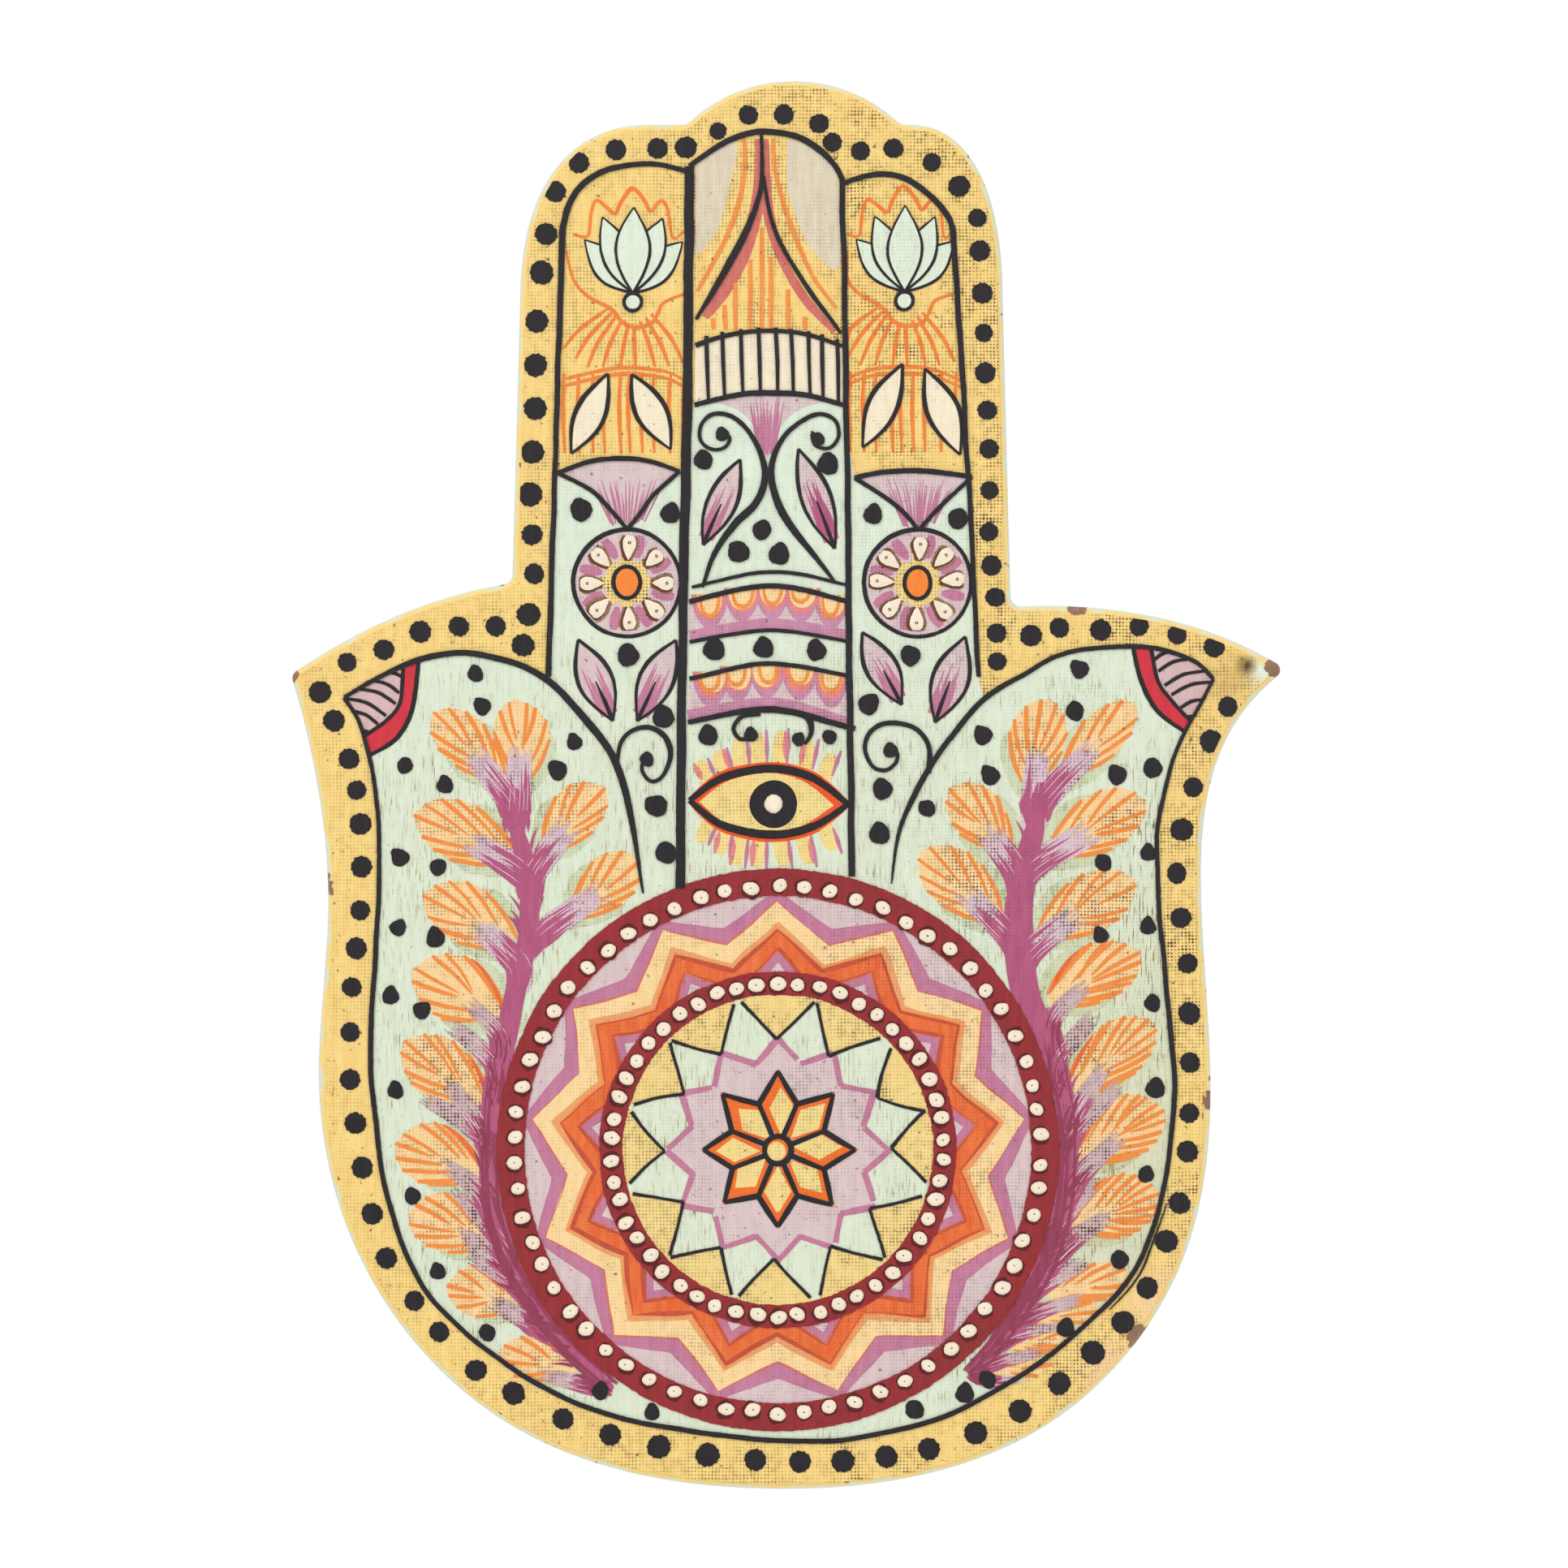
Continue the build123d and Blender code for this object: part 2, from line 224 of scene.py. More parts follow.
# Brown softwood under matt household paint: long grain where it is bare, faint brush marks where painted.
board_paint, nodes, shader, place = finish("painted softwood")
axes = add(nodes, "SeparateXYZ", {0: place}).outputs
grain = fibres(nodes, place, (1.2, 1.2, 22), 5)
wood = mix(nodes, grain, WOOD_DARK, WOOD_LIGHT)
uneven = clouds(nodes, place, 5, 4)
ragged = maths(nodes, "MULTIPLY_ADD", uneven, EDGE_WANDER * MM, axes["Y"])
front = ramp(nodes, ragged, face_y + GOLD_ENDS * MM, face_y + GOLD_WHOLE * MM)
covered = mix(nodes, front, mix(nodes, uneven, MINT, MINT_SHADE), GOLD)
bare = ramp(nodes, ragged, 0, BARE_WHOLE * MM)
flecks = ramp(nodes, clouds(nodes, place, 2.2, 2), 0.70, 0.73)
hanger_distance = away(nodes, place, 0, 0, POCKET_CENTRE_Z * MM)
routed = maths(nodes, "LESS_THAN", hanger_distance, POCKET_REACH * MM)
for mask in (flecks, chip_mask(nodes, place), routed):
    bare = maths(nodes, "MAXIMUM", bare, mask)
relief = add(nodes, "Bump", {"Height": grain, "Strength": 0.25, "Distance": 0.3 * MM}).outputs[0]
give(shader, {"Base Color": mix(nodes, bare, covered, wood), "Normal": relief, "Roughness": 0.65})
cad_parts["board"].material_slots[0].material = board_paint


# Cloth facing and its gold coat
# Plain-woven cotton glued over the face and painted gold all over first, so the gold left round the
# edge is the border. Brown grime sits in the holes between the threads, most on the right, and smears
# of dirt and of worn, peach-coloured gold lie near the edge.
THREAD = 0.74
ANY_DEPTH = 1000
GRIME_ACROSS = (-80 * MM, 30 * MM)
STREAKS_DOWN = (-60 * MM, -115 * MM)
STREAKS_ACROSS = (58 * MM, 86 * MM)
GRIME = "4B3526"
STREAK_BROWN = "8F7A48"
OLIVE_DIRT = "A5854F"
DARK_DIRT = "544529"
WORN_PEACH = "F0C8A2"
SMEARS = [(99, -87.4, 7, 0.9, OLIVE_DIRT), (106.2, -85.9, 4.2, 2.0, MINT),
          (102.4, -84.6, 2.8, 2.0, DARK_DIRT), (84.5, -219.5, 9, 1.5, WORN_PEACH),
          (73.5, -234.5, 8, 1.4, WORN_PEACH)]


def paint(name, colour, shade, grime=0.7, streaks=0.0, roughness=0.62, left_share=0.35):
    """Matt paint brushed on the cotton: two tones from the brush, grime in the weave, worn streaks."""
    material, nodes, shader, place = finish(name)
    axes = add(nodes, "SeparateXYZ", {0: place}).outputs
    # The threads really lie 0.5 mm apart, too fine to show, so they are drawn coarser.
    ripple = {"Vector": place, "Scale": math.tau / 20 / (THREAD * MM), "Distortion": 2.2,
              "Detail Scale": 0.25}
    warp, weft = (add(nodes, "TexWave", ripple, bands_direction=axis).outputs["Fac"] for axis in "XZ")
    threads = maths(nodes, "ADD", warp, weft)
    gaps = maths(nodes, "MULTIPLY_ADD", clouds(nodes, place, 1.7, 2), -2.6, threads)
    holes = ramp(nodes, gaps, -0.3, -1.0)
    dirty = ramp(nodes, clouds(nodes, place, 11, 6, 0.7), 0.40, 0.62, 0.15)
    side = ramp(nodes, axes["X"], *GRIME_ACROSS, left_share * grime, grime)
    shown = maths(nodes, "MULTIPLY", maths(nodes, "MULTIPLY", dirty, side), holes)
    specks = ramp(nodes, clouds(nodes, place, 1.2, 2), 0.65, 0.74, 0, 0.85 * min(1, 1.7 * grime))
    shown = maths(nodes, "MAXIMUM", shown, specks)
    tone = ramp(nodes, fibres(nodes, place, (1.4, ANY_DEPTH, 9), 4), 0.35, 0.75)
    brushed = mix(nodes, tone, colour, shade)
    if streaks:
        worn = ramp(nodes, fibres(nodes, place, (0.34, ANY_DEPTH, 4.5), 2), 0.56, 0.68, 0, streaks)
        worn = maths(nodes, "MULTIPLY", worn, dirty)
        worn = maths(nodes, "MULTIPLY", worn, ramp(nodes, axes["Z"], *STREAKS_DOWN, 0.22))
        right = ramp(nodes, axes["X"], *STREAKS_ACROSS, 1.0, 2.2)
        worn = maths(nodes, "MULTIPLY", worn, right, use_clamp=True)
        brushed = mix(nodes, worn, brushed, STREAK_BROWN)
    relief = add(nodes, "Bump", {"Height": threads, "Strength": 0.3, "Distance": 0.08 * MM}).outputs[0]
    give(shader, {"Base Color": mix(nodes, shown, brushed, GRIME), "Normal": relief, "Roughness": roughness,
                  "Specular IOR Level": 0.2})
    return material


# Gold paint: warm and flat on the left, freckled brown by the weave on the right, chipped at the edge.
gold = paint("gold paint on cotton", GOLD, GOLD_SHADE, grime=1.0)
nodes = gold.node_tree.nodes
shader = nodes["Principled BSDF"]
under = shader.inputs["Base Color"].links[0].from_socket
place = add(nodes, "TexCoord").outputs["Object"]
cloud = clouds(nodes, place, 2.5, 5)
for x, z, size, strength, colour in SMEARS:
    near = ramp(nodes, away(nodes, place, x * MM, face_y, z * MM), size * MM, 0, 0, strength)
    under = mix(nodes, maths(nodes, "MULTIPLY", near, cloud), under, colour)
give(shader, {"Base Color": mix(nodes, chip_mask(nodes, place), under, WOOD)})
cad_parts["cloth_facing"].material_slots[0].material = gold


# Mint ground
# The second coat: one flat mint field over the palm and the lower fingers, brushed up to the border.
# Fine brown streaks run down it where the brush and handling have worn it thin.
COAT = 0.02
LAP = 0.4  # layers by which shapes of one film that overlap lie apart
EDGE_SEED = 7
noise.seed_set(EDGE_SEED)  # otherwise the clock seeds it, and each run gives other edges
AGED = "F7ECDA"
left_arch = [(-89.5, -91.5), (-76.5, -84.5), (-66, -82), (-55.5, -83.5), (-46.5, -87.5)]
left_arch_end = [(-38.6, -95.4), (-32, -104.6), (-28.4, -116.5), (-25.8, -133)]
right_arch = [(95.5, -87.5), (91, -83.5), (81, -80.7), (70.5, -81), (62, -82.6), (55, -86.6), (46.5, -91.6)]
right_arch_end = [(40.4, -98.9), (33.2, -109.2), (28.4, -121), (27, -131)]
palm_edge = [(-89.5, -91.5), (-85.5, -98.5), (-82.5, -114), (-82, -133), (-83.5, -158), (-83.5, -175),
             (-80, -198.5), (-73, -216), (-64, -226), (-52, -235), (-38.5, -242), (-24.5, -246),
             (-7, -248.5), (5.5, -249.5), (18.5, -249), (36, -245), (53, -236.5), (67, -226), (79, -212.5),
             (85, -195), (87, -176), (86, -159), (84, -138), (83.5, -121), (86, -107), (90, -97.5),
             (95.5, -87.5)]
left_finger_side = [(-43, 8), (-44.5, -39.5), (-46, -87)]
right_finger_side = [(40, 8), (43, -39.5), (45.5, -87)]
left_parting = [(-16, 21.5), (-16.5, -29.5), (-17.5, -81), (-18, -132)]
right_parting = [(16.5, 19), (17.5, -39.5), (18.5, -129.5)]
left_fan_top = [(-44, -43.8), (-37, -41.2), (-30, -40.6), (-24, -41.4), (-18, -43.2)]
right_fan_top = [(19, -44.8), (25, -43.6), (32, -43.1), (38.5, -43.6), (44, -44.6)]
comb_foot = [(-15, -29.3), (-7, -27.3), (0.7, -26.6), (9.5, -27.3), (16.8, -29.3)]


def through(points, step=0.8):
    """A smooth line through given points (mm), as points about step apart."""
    knots = [Vector(p) for p in points]
    last = len(knots) - 1
    line = []
    for i in range(last):
        start, end = knots[i], knots[i + 1]
        lead = start + (end - knots[max(i - 1, 0)]) / 6
        trail = end - (knots[min(i + 2, last)] - start) / 6
        pieces = max(2, round((end - start).length / step))
        line += interpolate_bezier(start, lead, trail, end, pieces + 1)[:-1]
    return line + [knots[-1]]


def made_mesh(curve):
    """Turns a curve into a mesh."""
    holder = bpy.data.objects.new("outline", curve)
    bpy.context.scene.collection.objects.link(holder)
    mesh = bpy.data.meshes.new_from_object(holder.evaluated_get(bpy.context.evaluated_depsgraph_get()))
    bpy.data.objects.remove(holder)
    bpy.data.curves.remove(curve)
    return mesh


def put(film, mesh, flat):
    """Adds a mesh to a film, its faces turned outward. A flat shape is welded to a closed shell and its
    triangles are joined to whole faces, because thin triangles would fold when the outline shifts."""
    shape = bmesh.new()
    shape.from_mesh(mesh)
    if flat:
        bmesh.ops.remove_doubles(shape, verts=shape.verts, dist=COAT * MM / 20)
    bmesh.ops.recalc_face_normals(shape, faces=shape.faces)
    if flat:
        bmesh.ops.dissolve_limit(shape, angle_limit=math.radians(1), edges=shape.edges)
    shape.to_mesh(mesh)
    shape.free()
    film.from_mesh(mesh)
    bpy.data.meshes.remove(mesh)


def lay(film, outlines, layer):
    """Adds flat closed shapes to a film. An outline inside another one is a hole."""
    curve = bpy.data.curves.new("film", "CURVE")
    curve.dimensions = "2D"
    curve.fill_mode = "BOTH"
    curve_depth = layer * COAT * MM / 2
    curve.extrude = curve_depth
    for points in outlines:
        spline = curve.splines.new("POLY")
        spline.points.add(len(points) - 1)
        spline.use_cyclic_u = True
        spline.use_smooth = False
        for knot, (x, z) in zip(spline.points, points):
            knot.co = (x * MM, z * MM, 0, 1)
    mesh = made_mesh(curve)
    upright = Matrix.Rotation(math.radians(90), 4, "X")
    mesh.transform(Matrix.Translation((0, face_y - curve_depth, 0)) @ upright)
    put(film, mesh, flat=True)


def draw(film, strokes, layer, crown=0.1, sides=1):
    """Adds brush strokes to a film: each is a line of points and its width at them (mm)."""
    curve = bpy.data.curves.new("stroke", "CURVE")
    curve.dimensions = "3D"
    curve.bevel_depth = MM / 2
    curve.bevel_resolution = sides
    curve.use_fill_caps = True
    for points, widths in strokes:
        spline = curve.splines.new("POLY")
        spline.points.add(len(points) - 1)
        for i, (knot, (x, z)) in enumerate(zip(spline.points, points)):
            along = i / (len(points) - 1) * (len(widths) - 1)
            low = min(int(along), len(widths) - 2)
            knot.co = (x * MM, 0, z * MM, 1)
            knot.radius = widths[low] + (widths[low + 1] - widths[low]) * (along - low)
    mesh = made_mesh(curve)
    mesh.transform(Matrix.Translation((0, face_y - layer * COAT * MM, 0)) @ Matrix.Scale(crown, 4,
                                                                                         (0, 1, 0)))
    mesh.shade_flat()
    put(film, mesh, flat=False)


def painted(name, film, materials, sway=0.25, ragged=0.08, slot="painted_cloth"):
    """Makes a film a piece on the plaque, its edges shifted as by an unsteady hand and a rough weave."""
    for vertex in film.verts:
        spot = Vector((vertex.co.x, 0, vertex.co.z))
        slow = noise.noise_vector(spot / (9 * MM)) * sway
        quick = noise.noise_vector(spot / (0.9 * MM)) * ragged
        vertex.co.x += (slow.x + quick.x) * MM
        vertex.co.z += (slow.z + quick.z) * MM
    mesh = bpy.data.meshes.new(name)
    film.to_mesh(mesh)
    film.free()
    for material in materials:
        mesh.materials.append(material)
    piece = bpy.data.objects.new(name, mesh)
    bpy.context.scene.collection.objects.link(piece)
    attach(piece, "plaque")
    return piece


def flat_coat(name, outlines, layer, material, **edge):
    """A piece of flat shapes in one paint."""
    film = bmesh.new()
    lay(film, outlines, layer)
    painted(name, film, [material], **edge)


def stroke_coat(name, strokes, layer, material, **brush):
    """A piece of brush strokes in one paint."""
    film = bmesh.new()
    draw(film, strokes, layer, **brush)
    painted(name, film, [material])


def yellowed(material):
    """Tints a paint as age and hands have: a little down the palm, most at its right foot."""
    nodes = material.node_tree.nodes
    shader = nodes["Principled BSDF"]
    axes = add(nodes, "SeparateXYZ", {0: add(nodes, "TexCoord").outputs["Object"]}).outputs
    palm = ramp(nodes, axes["Z"], -50 * MM, -105 * MM, 0, 0.25)
    right = ramp(nodes, axes["X"], 45 * MM, 80 * MM)
    foot = ramp(nodes, axes["Z"], -120 * MM, -180 * MM, 0, 0.65)
    share = maths(nodes, "MULTIPLY_ADD", right, foot, palm)
    fresh = shader.inputs["Base Color"].links[0].from_socket
    give(shader, {"Base Color": mix(nodes, share, fresh, AGED, "MULTIPLY")})


# Mint paint: cool and even above, yellower and streaked brown towards the foot.
mint = paint("mint paint on cotton", MINT, MINT_SHADE, grime=0.2, streaks=1.0)
yellowed(mint)
field = through(left_arch) + left_finger_side[-1:] + through(left_fan_top) + through(comb_foot)
field += through(right_fan_top) + right_finger_side[-1:]
field += through(right_arch[::-1]) + through(palm_edge[::-1])
flat_coat("mint_ground", [field], 1, mint, sway=0)


# Middle finger: tent, comb and fan
# Brushed on the gold: two taupe corners, a tent edged in rose with loose orange strokes in and round
# it, a cream comb band below, and a lilac fan with magenta hairs under the band.
COMB_STROKE_FOOT = -13.2
LILAC = "D9C5C3"
MAGENTA = "C37F98"
comb_top = [(-14.7, -16.7), (-7, -14.2), (0.7, -13.3), (8.3, -14), (16.5, -16.7)]
tent_left = [(-0.7, 28.3), (-0.8, 18.2), (-1.7, 13.7), (-3.5, 8.9), (-6, 3.7), (-9.6, -2.8), (-14.6, -11.1)]
tent_right = [(-0.4, 19.5), (0.5, 14.2), (1.7, 9.3), (3.8, 4.4), (7.4, -1.6), (11.4, -7.6), (16.2, -13.9)]
left_corner = [(-14.7, 22), (-10.7, 25), (-6.2, 27), (-6.6, 21), (-8.4, 13.4), (-10.6, 7.2), (-14.7, 2)]
right_corner = [(5, 27.6), (10, 25.5), (14.8, 21.4), (16, 12), (15.5, 0.2), (11.7, 2.1), (7.8, 7.9),
                (5, 16), (4.7, 22)]
left_rose = [(-1.5, 27.4), (-1.5, 18.2), (-1.8, 12.5), (-4.6, 2.9), (-9, -5.2), (-12.6, -10.7)]
right_rose = [(0.3, 27.4), (0.5, 18.2), (1.0, 10.5), (4.1, 0.9), (9, -7.2), (14.8, -13.7)]
tent_strokes = [[(-4.5, 27.4), (-4.4, 21), (-5.3, 14.5), (-8.2, 6.4), (-11.6, -0.3), (-14.3, -5)],
                [(1.8, 27.6), (2, 22), (3.2, 16.5), (5.2, 9.8), (7.8, 3.6), (10.8, -2.7), (15.2, -8.6)]]
stroke_tops = [(-11, -10.8), (-8.5, -8), (-6.3, -3.2), (-3.1, 1.7), (-0.7, 8.5), (1.3, 2.3), (4.9, -4.6),
               (8.4, -10.4)]
tent_strokes += [[(x, top), (x + 0.2, COMB_STROKE_FOOT)] for x, top in stroke_tops]

# Chalky taupe and cream, warm rose and orange with the gold near, and a soft lilac with its magenta.
taupe = paint("taupe paint on cotton", "DED2BA", "D0C2A8", grime=0.25, streaks=0.5)
rose = paint("rose paint on cotton", "D3786A", "C4635F", grime=0.5)
orange_line = paint("thin orange paint on cotton", "EA8A40", "ED9C54", grime=0.4)
cream = paint("cream paint on cotton", "F4E7CB", "EADBBF", grime=0.3, streaks=0.3)
lilac = paint("lilac paint on cotton", LILAC, "CFB5B8", grime=0.5)
magenta = paint("magenta paint on cotton", MAGENTA, "B66E90", grime=0.35)

flat_coat("tent_taupe_corners", [through(left_corner), through(right_corner)], 1, taupe)
stroke_coat("tent_rose_edges",
            [(through(left_rose), [1.5, 1.8, 3.3, 3.4, 3.6, 3.5, 1.6]),
             (through(right_rose), [1.2, 1.5, 2.7, 2.5, 2.2, 2.2, 1.2])], 2, rose, crown=0.02)
stroke_coat("tent_orange_strokes", [(through(line), [1.0, 1.25, 0.9]) for line in tent_strokes], 3,
            orange_line, crown=0.05)
flat_coat("comb_band", [through(comb_top) + through(comb_foot[::-1])], 2, cream)


def fan_hairs(point, reach, spread, count, rng):
    """Fine brush hairs that rise from a fan's point and spread to either side."""
    hairs = []
    for i in range(count):
        lean = spread * (2 * (i + rng.random()) / count - 1)
        length = reach * rng.uniform(0.6, 1.0)
        start = Vector((point[0] + lean * 6, point[1] + rng.uniform(0.2, 1.6) + abs(lean)))
        end = start + Vector((math.sin(lean * 0.8), math.cos(lean * 0.8))) * length
        hairs.append(([start, start.lerp(end, 0.5), end], [0.3, 0.4, 0.1]))
    return hairs


rng = random.Random(3)
left_fan = [[(-44, -43.8), (-37.2, -47), (-32.9, -51.3), (-29.2, -55.6)],
            [(-29.2, -55.6), (-26.7, -52.5), (-23.4, -48.2), (-18, -43.2)]]
right_fan = [[(19, -44.8), (25.4, -48.8), (30, -52.5), (32.8, -55.8)],
             [(32.8, -55.8), (35.9, -52.5), (39, -49.2), (44, -44.6)]]
middle_fan = [(-11, -28.6), (-6, -30.2), (-2.4, -33.5), (0.4, -40.5), (3.6, -33.5), (7.4, -30.2),
              (12.5, -28.6)]
middle_fan_top = [(12.5, -28.2), (0.7, -26.6), (-11, -28.2)]
flat_coat("finger_fans", [through(left_fan[0]) + through(left_fan[1]) + through(left_fan_top[::-1]),
                          through(right_fan[0]) + through(right_fan[1]) + through(right_fan_top[::-1]),
                          through(middle_fan) + through(middle_fan_top)], 2, lilac)
hairs = fan_hairs(left_fan[1][0], 10, 0.6, 20, rng) + fan_hairs(right_fan[1][0], 11, 0.6, 26, rng)
hairs += fan_hairs(middle_fan[3], 13, 0.26, 22, rng)
stroke_coat("finger_fan_hairs", hairs, 3, magenta, crown=0.06, sides=0)


# Scallop bands of the middle finger
# Two arched bands: a lilac ground, a magenta strip along the foot, and scallops hung from the top
# line, each a rose tongue with an orange one and a peach one inside it.
SCALLOPS = [((-11.7, -4.8, 1.6, 7.9, 14.3), 7.2), ((-11.5, -5.8, 0.5, 7.3, 14.2), 7.4)]
SCALLOP_WIDTH = 7.0
STRIP_WIDTHS = (2.7, 2.8)
STRIP_END = 17.3
BAND_MIDDLE = 1
BAND_HALF = 17
TONGUE_STEPS = 16
band_lines = [[(-15.5, -68), (1, -64.6), (17.3, -67.4)], [(-16, -71), (1, -67.6), (17.6, -71)],
              [(-16, -79.7), (1, -77), (17.8, -79.5)], [(-16, -87.5), (1, -84.2), (18, -86.8)],
              [(-16.3, -96.6), (1, -94), (19.3, -98)]]
# Warm peach and pink that glow beside the cooler magenta.
peach = paint("peach paint on cotton", "F6D69E", "EFC98C", grime=0.6)
scallop_rose = paint("pink paint on cotton", "E4897F", "DC7C80", grime=0.5)
strip_magenta = paint("strip magenta paint on cotton", "C88DA7", "BE7E9C", grime=0.5)


def pointed(t):
    """Half width of a leaf, sharp at both ends."""
    return math.sin(math.pi * t)


def rounded(t):
    """Half width of a lobe that swells from a narrow foot to a round end."""
    return math.sin(math.pi * t ** 1.35) ** 0.6 if 0 < t < 1 else 0


def blade(base, tip, width, shape, steps=14):
    """The two edges of a leaf, lobe or petal, each from its base to its tip."""
    base, tip = Vector(base), Vector(tip)
    across = Vector((base.y - tip.y, tip.x - base.x)).normalized() * width / 2
    stations = [i / steps for i in range(steps + 1)]
    left = [base.lerp(tip, t) + across * shape(t) for t in stations]
    right = [base.lerp(tip, t) - across * shape(t) for t in stations]
    return left, right


def blade_outline(base, tip, width, shape):
    """The closed outline of a blade."""
    left, right = blade(base, tip, width, shape)
    return left + right[-2:0:-1]


def tongue(x, top, depth, width, sharp):
    """A scallop hung from the top line: round with sharp at 0.8, drawn in to a point above 1."""
    edge = []
    for i in range(TONGUE_STEPS + 1):
        a = math.pi * i / TONGUE_STEPS
        aside = math.copysign(abs(math.cos(a)) ** sharp, math.cos(a))
        edge.append((x + width / 2 * aside, top - depth * math.sin(a) ** sharp))
    return edge


lilac_film, strip_film, rose_film, orange_film, peach_film = (bmesh.new() for i in range(5))
rng = random.Random(6)
for k, strip in enumerate(STRIP_WIDTHS):
    top_line, foot_line = band_lines[1 + 2 * k], band_lines[2 + 2 * k]
    places, depth = SCALLOPS[k]
    lay(lilac_film, [through(top_line) + through(foot_line[::-1])], 2)
    strip_line = through([(min(x, STRIP_END), z + strip / 2) for x, z in foot_line])
    draw(strip_film, [(strip_line, [strip, strip])], 3, crown=0.02)
    for i, x in enumerate(places):
        crest = top_line[1][1]
        top = crest - (crest - top_line[0][1]) * ((x - BAND_MIDDLE) / BAND_HALF) ** 2
        wide = SCALLOP_WIDTH * rng.uniform(0.96, 1.04)
        step = LAP * (i % 2)
        lay(strip_film, [tongue(x, top, depth, wide + 0.7, 1.1)], 4 + step)
        lay(rose_film, [tongue(x, top, depth * 0.74, wide - 0.3, 0.85)], 5 + step)
        deep = depth * rng.uniform(0.54, 0.68)
        aside = rng.uniform(-0.3, 0.3)
        lay(peach_film, [tongue(x + aside, top, deep, rng.uniform(5.2, 6.0), 0.85)], 6.4 + step)
        loop = tongue(x - aside, top, deep - rng.uniform(0.2, 1.5), rng.uniform(3.4, 4.4), 0.85)
        draw(orange_film, [(loop, [0.8, 1.1, 0.7])], 7.4, crown=0.05)
painted("band_grounds", lilac_film, [lilac])
painted("band_strips", strip_film, [strip_magenta])
painted("scallop_rims", rose_film, [scallop_rose])
painted("scallop_hearts", peach_film, [peach])
painted("scallop_loops", orange_film, [orange_line])


# Side finger strokes, cream leaves and lotus
# Loose orange strokes over the gold: an echo of the lotus above it, a bowl and ribs below. Over them
# a pair of cream leaves, and a mint lotus whose petals overlap from the outside in.
LOTUS_BASES = [(-28.1, -5.5), (29.7, -5.2)]
LOTUS_LINE = 0.62
LOTUS_PETALS = [((-10.2, 11.4), 6.2), ((10.5, 10.9), 6.2), ((-6.4, 16.2), 6.4), ((6.5, 16), 6.4),
                ((0.2, 18.3), 7.2)]
LOTUS_BALL = 1.9
FINGER_SIDES = [(-43, -16.8), (17.5, 42)]
BOWL_FOOT = -7.2
RIB_FOOT = -15.6
BELTS = (-15.8, -17.2)
RIB_REACHES = (-14.8, -12, -9.5, -6.3, -2.5, 0.6, 4.6, 7.6, 10.7)
RAY_PLACES = (-14.5, -11.5, -8.5, -6, -2.5, -0.6, 2, 4.5, 8, 11)
cream_leaves = [((-33.3, -22.6), (-41.2, -39.6), 6.2), ((-28.2, -22.8), (-20, -38.6), 6.4),
                ((29.3, -20.4), (20.9, -38.2), 6.0), ((34.2, -21.6), (41.7, -39.7), 6.6)]
lotus_echo = [(-12.6, 12.6), (-9.6, 12.2), (-9, 16.8), (-7.9, 19.8), (-5.8, 18.5), (-3.7, 17), (-2.6, 19.4),
              (-0.2, 22.4), (2.3, 20), (3.7, 17.5), (5.1, 19), (6.3, 19.8), (7.7, 17.3), (8.5, 11.7),
              (10.9, 13.3)]
bowl = [(11, 0), (6.6, -1.9), (5.6, -3.9), (4.2, -6.3), (0.6, BOWL_FOOT), (-2.4, -6), (-4.8, -3.2),
        (-9.5, -0.4), (-12.6, 3.1), (-14.1, 9)]
# A strong orange that the brush left thin, and a black that stays matt over everything.
deep_orange = paint("deep orange paint on cotton", "E87B32", "EC8C45", grime=0.4)
black = paint("black paint on cotton", "1D1A1C", "262326", grime=0.0, roughness=0.5)

film = bmesh.new()
for (x, z), (left, right) in zip(LOTUS_BASES, FINGER_SIDES):
    loose = [lotus_echo, bowl]
    for reach in RIB_REACHES:
        start = Vector((0.38 * reach, 0.26 * abs(reach) + BOWL_FOOT))
        end = Vector((reach, 0.7 * max(0, abs(reach) - 9.5) + RIB_FOOT))
        loose.append([start, start.lerp(end, 0.5) + Vector((0.07 * reach, 0)), end])
    for belt in BELTS:
        loose.append([(-15.5, belt - 2.6), (-7, belt - 0.6), (0, belt), (7, belt - 0.9), (12, belt - 3)])
    for across in RAY_PLACES:
        loose.append([(across, -17), (across - 0.3, -24), (across, -34)])
    kept = [[(min(max(x + a, left), right), z + b) for a, b in line] for line in loose]
    draw(film, [(through(line), [0.7, 1.1, 0.6]) for line in kept], 2, crown=0.05)
painted("finger_orange_strokes", film, [deep_orange])

flat_coat("cream_leaves", [blade_outline(base, tip, width, pointed) for base, tip, width in cream_leaves],
          6, cream)

petal_film, line_film = bmesh.new(), bmesh.new()
for x, z in LOTUS_BASES:
    for i, ((a, b), width) in enumerate(LOTUS_PETALS):
        layer = 5 + 5 * (i // 2)
        lay(petal_film, [blade_outline((x, z), (x + a, z + b), width, pointed)], layer)
        edges = blade((x, z), (x + a, z + b), width, pointed)
        draw(line_film, [(edge, [LOTUS_LINE, LOTUS_LINE * 1.2, 0.4]) for edge in edges], layer + 1)


def circle(centre, radius, step=0.8):
    """Points round a circle, about step mm apart."""
    count = max(12, round(math.tau * radius / step))
    turns = [math.tau * i / count for i in range(count)]
    return [(centre[0] + radius * math.cos(a), centre[1] + radius * math.sin(a)) for a in turns]


def closed(points):
    """The same points with the first one again at the end."""
    return points + points[:1]


for x, z in LOTUS_BASES:
    ball = circle((x, z - LOTUS_BALL), LOTUS_BALL)
    lay(petal_film, [ball], 16)
    draw(line_film, [(closed(ball), [0.9, 0.9])], 17)
painted("lotus_petals", petal_film, [mint])
painted("lotus_lines", line_film, [black])


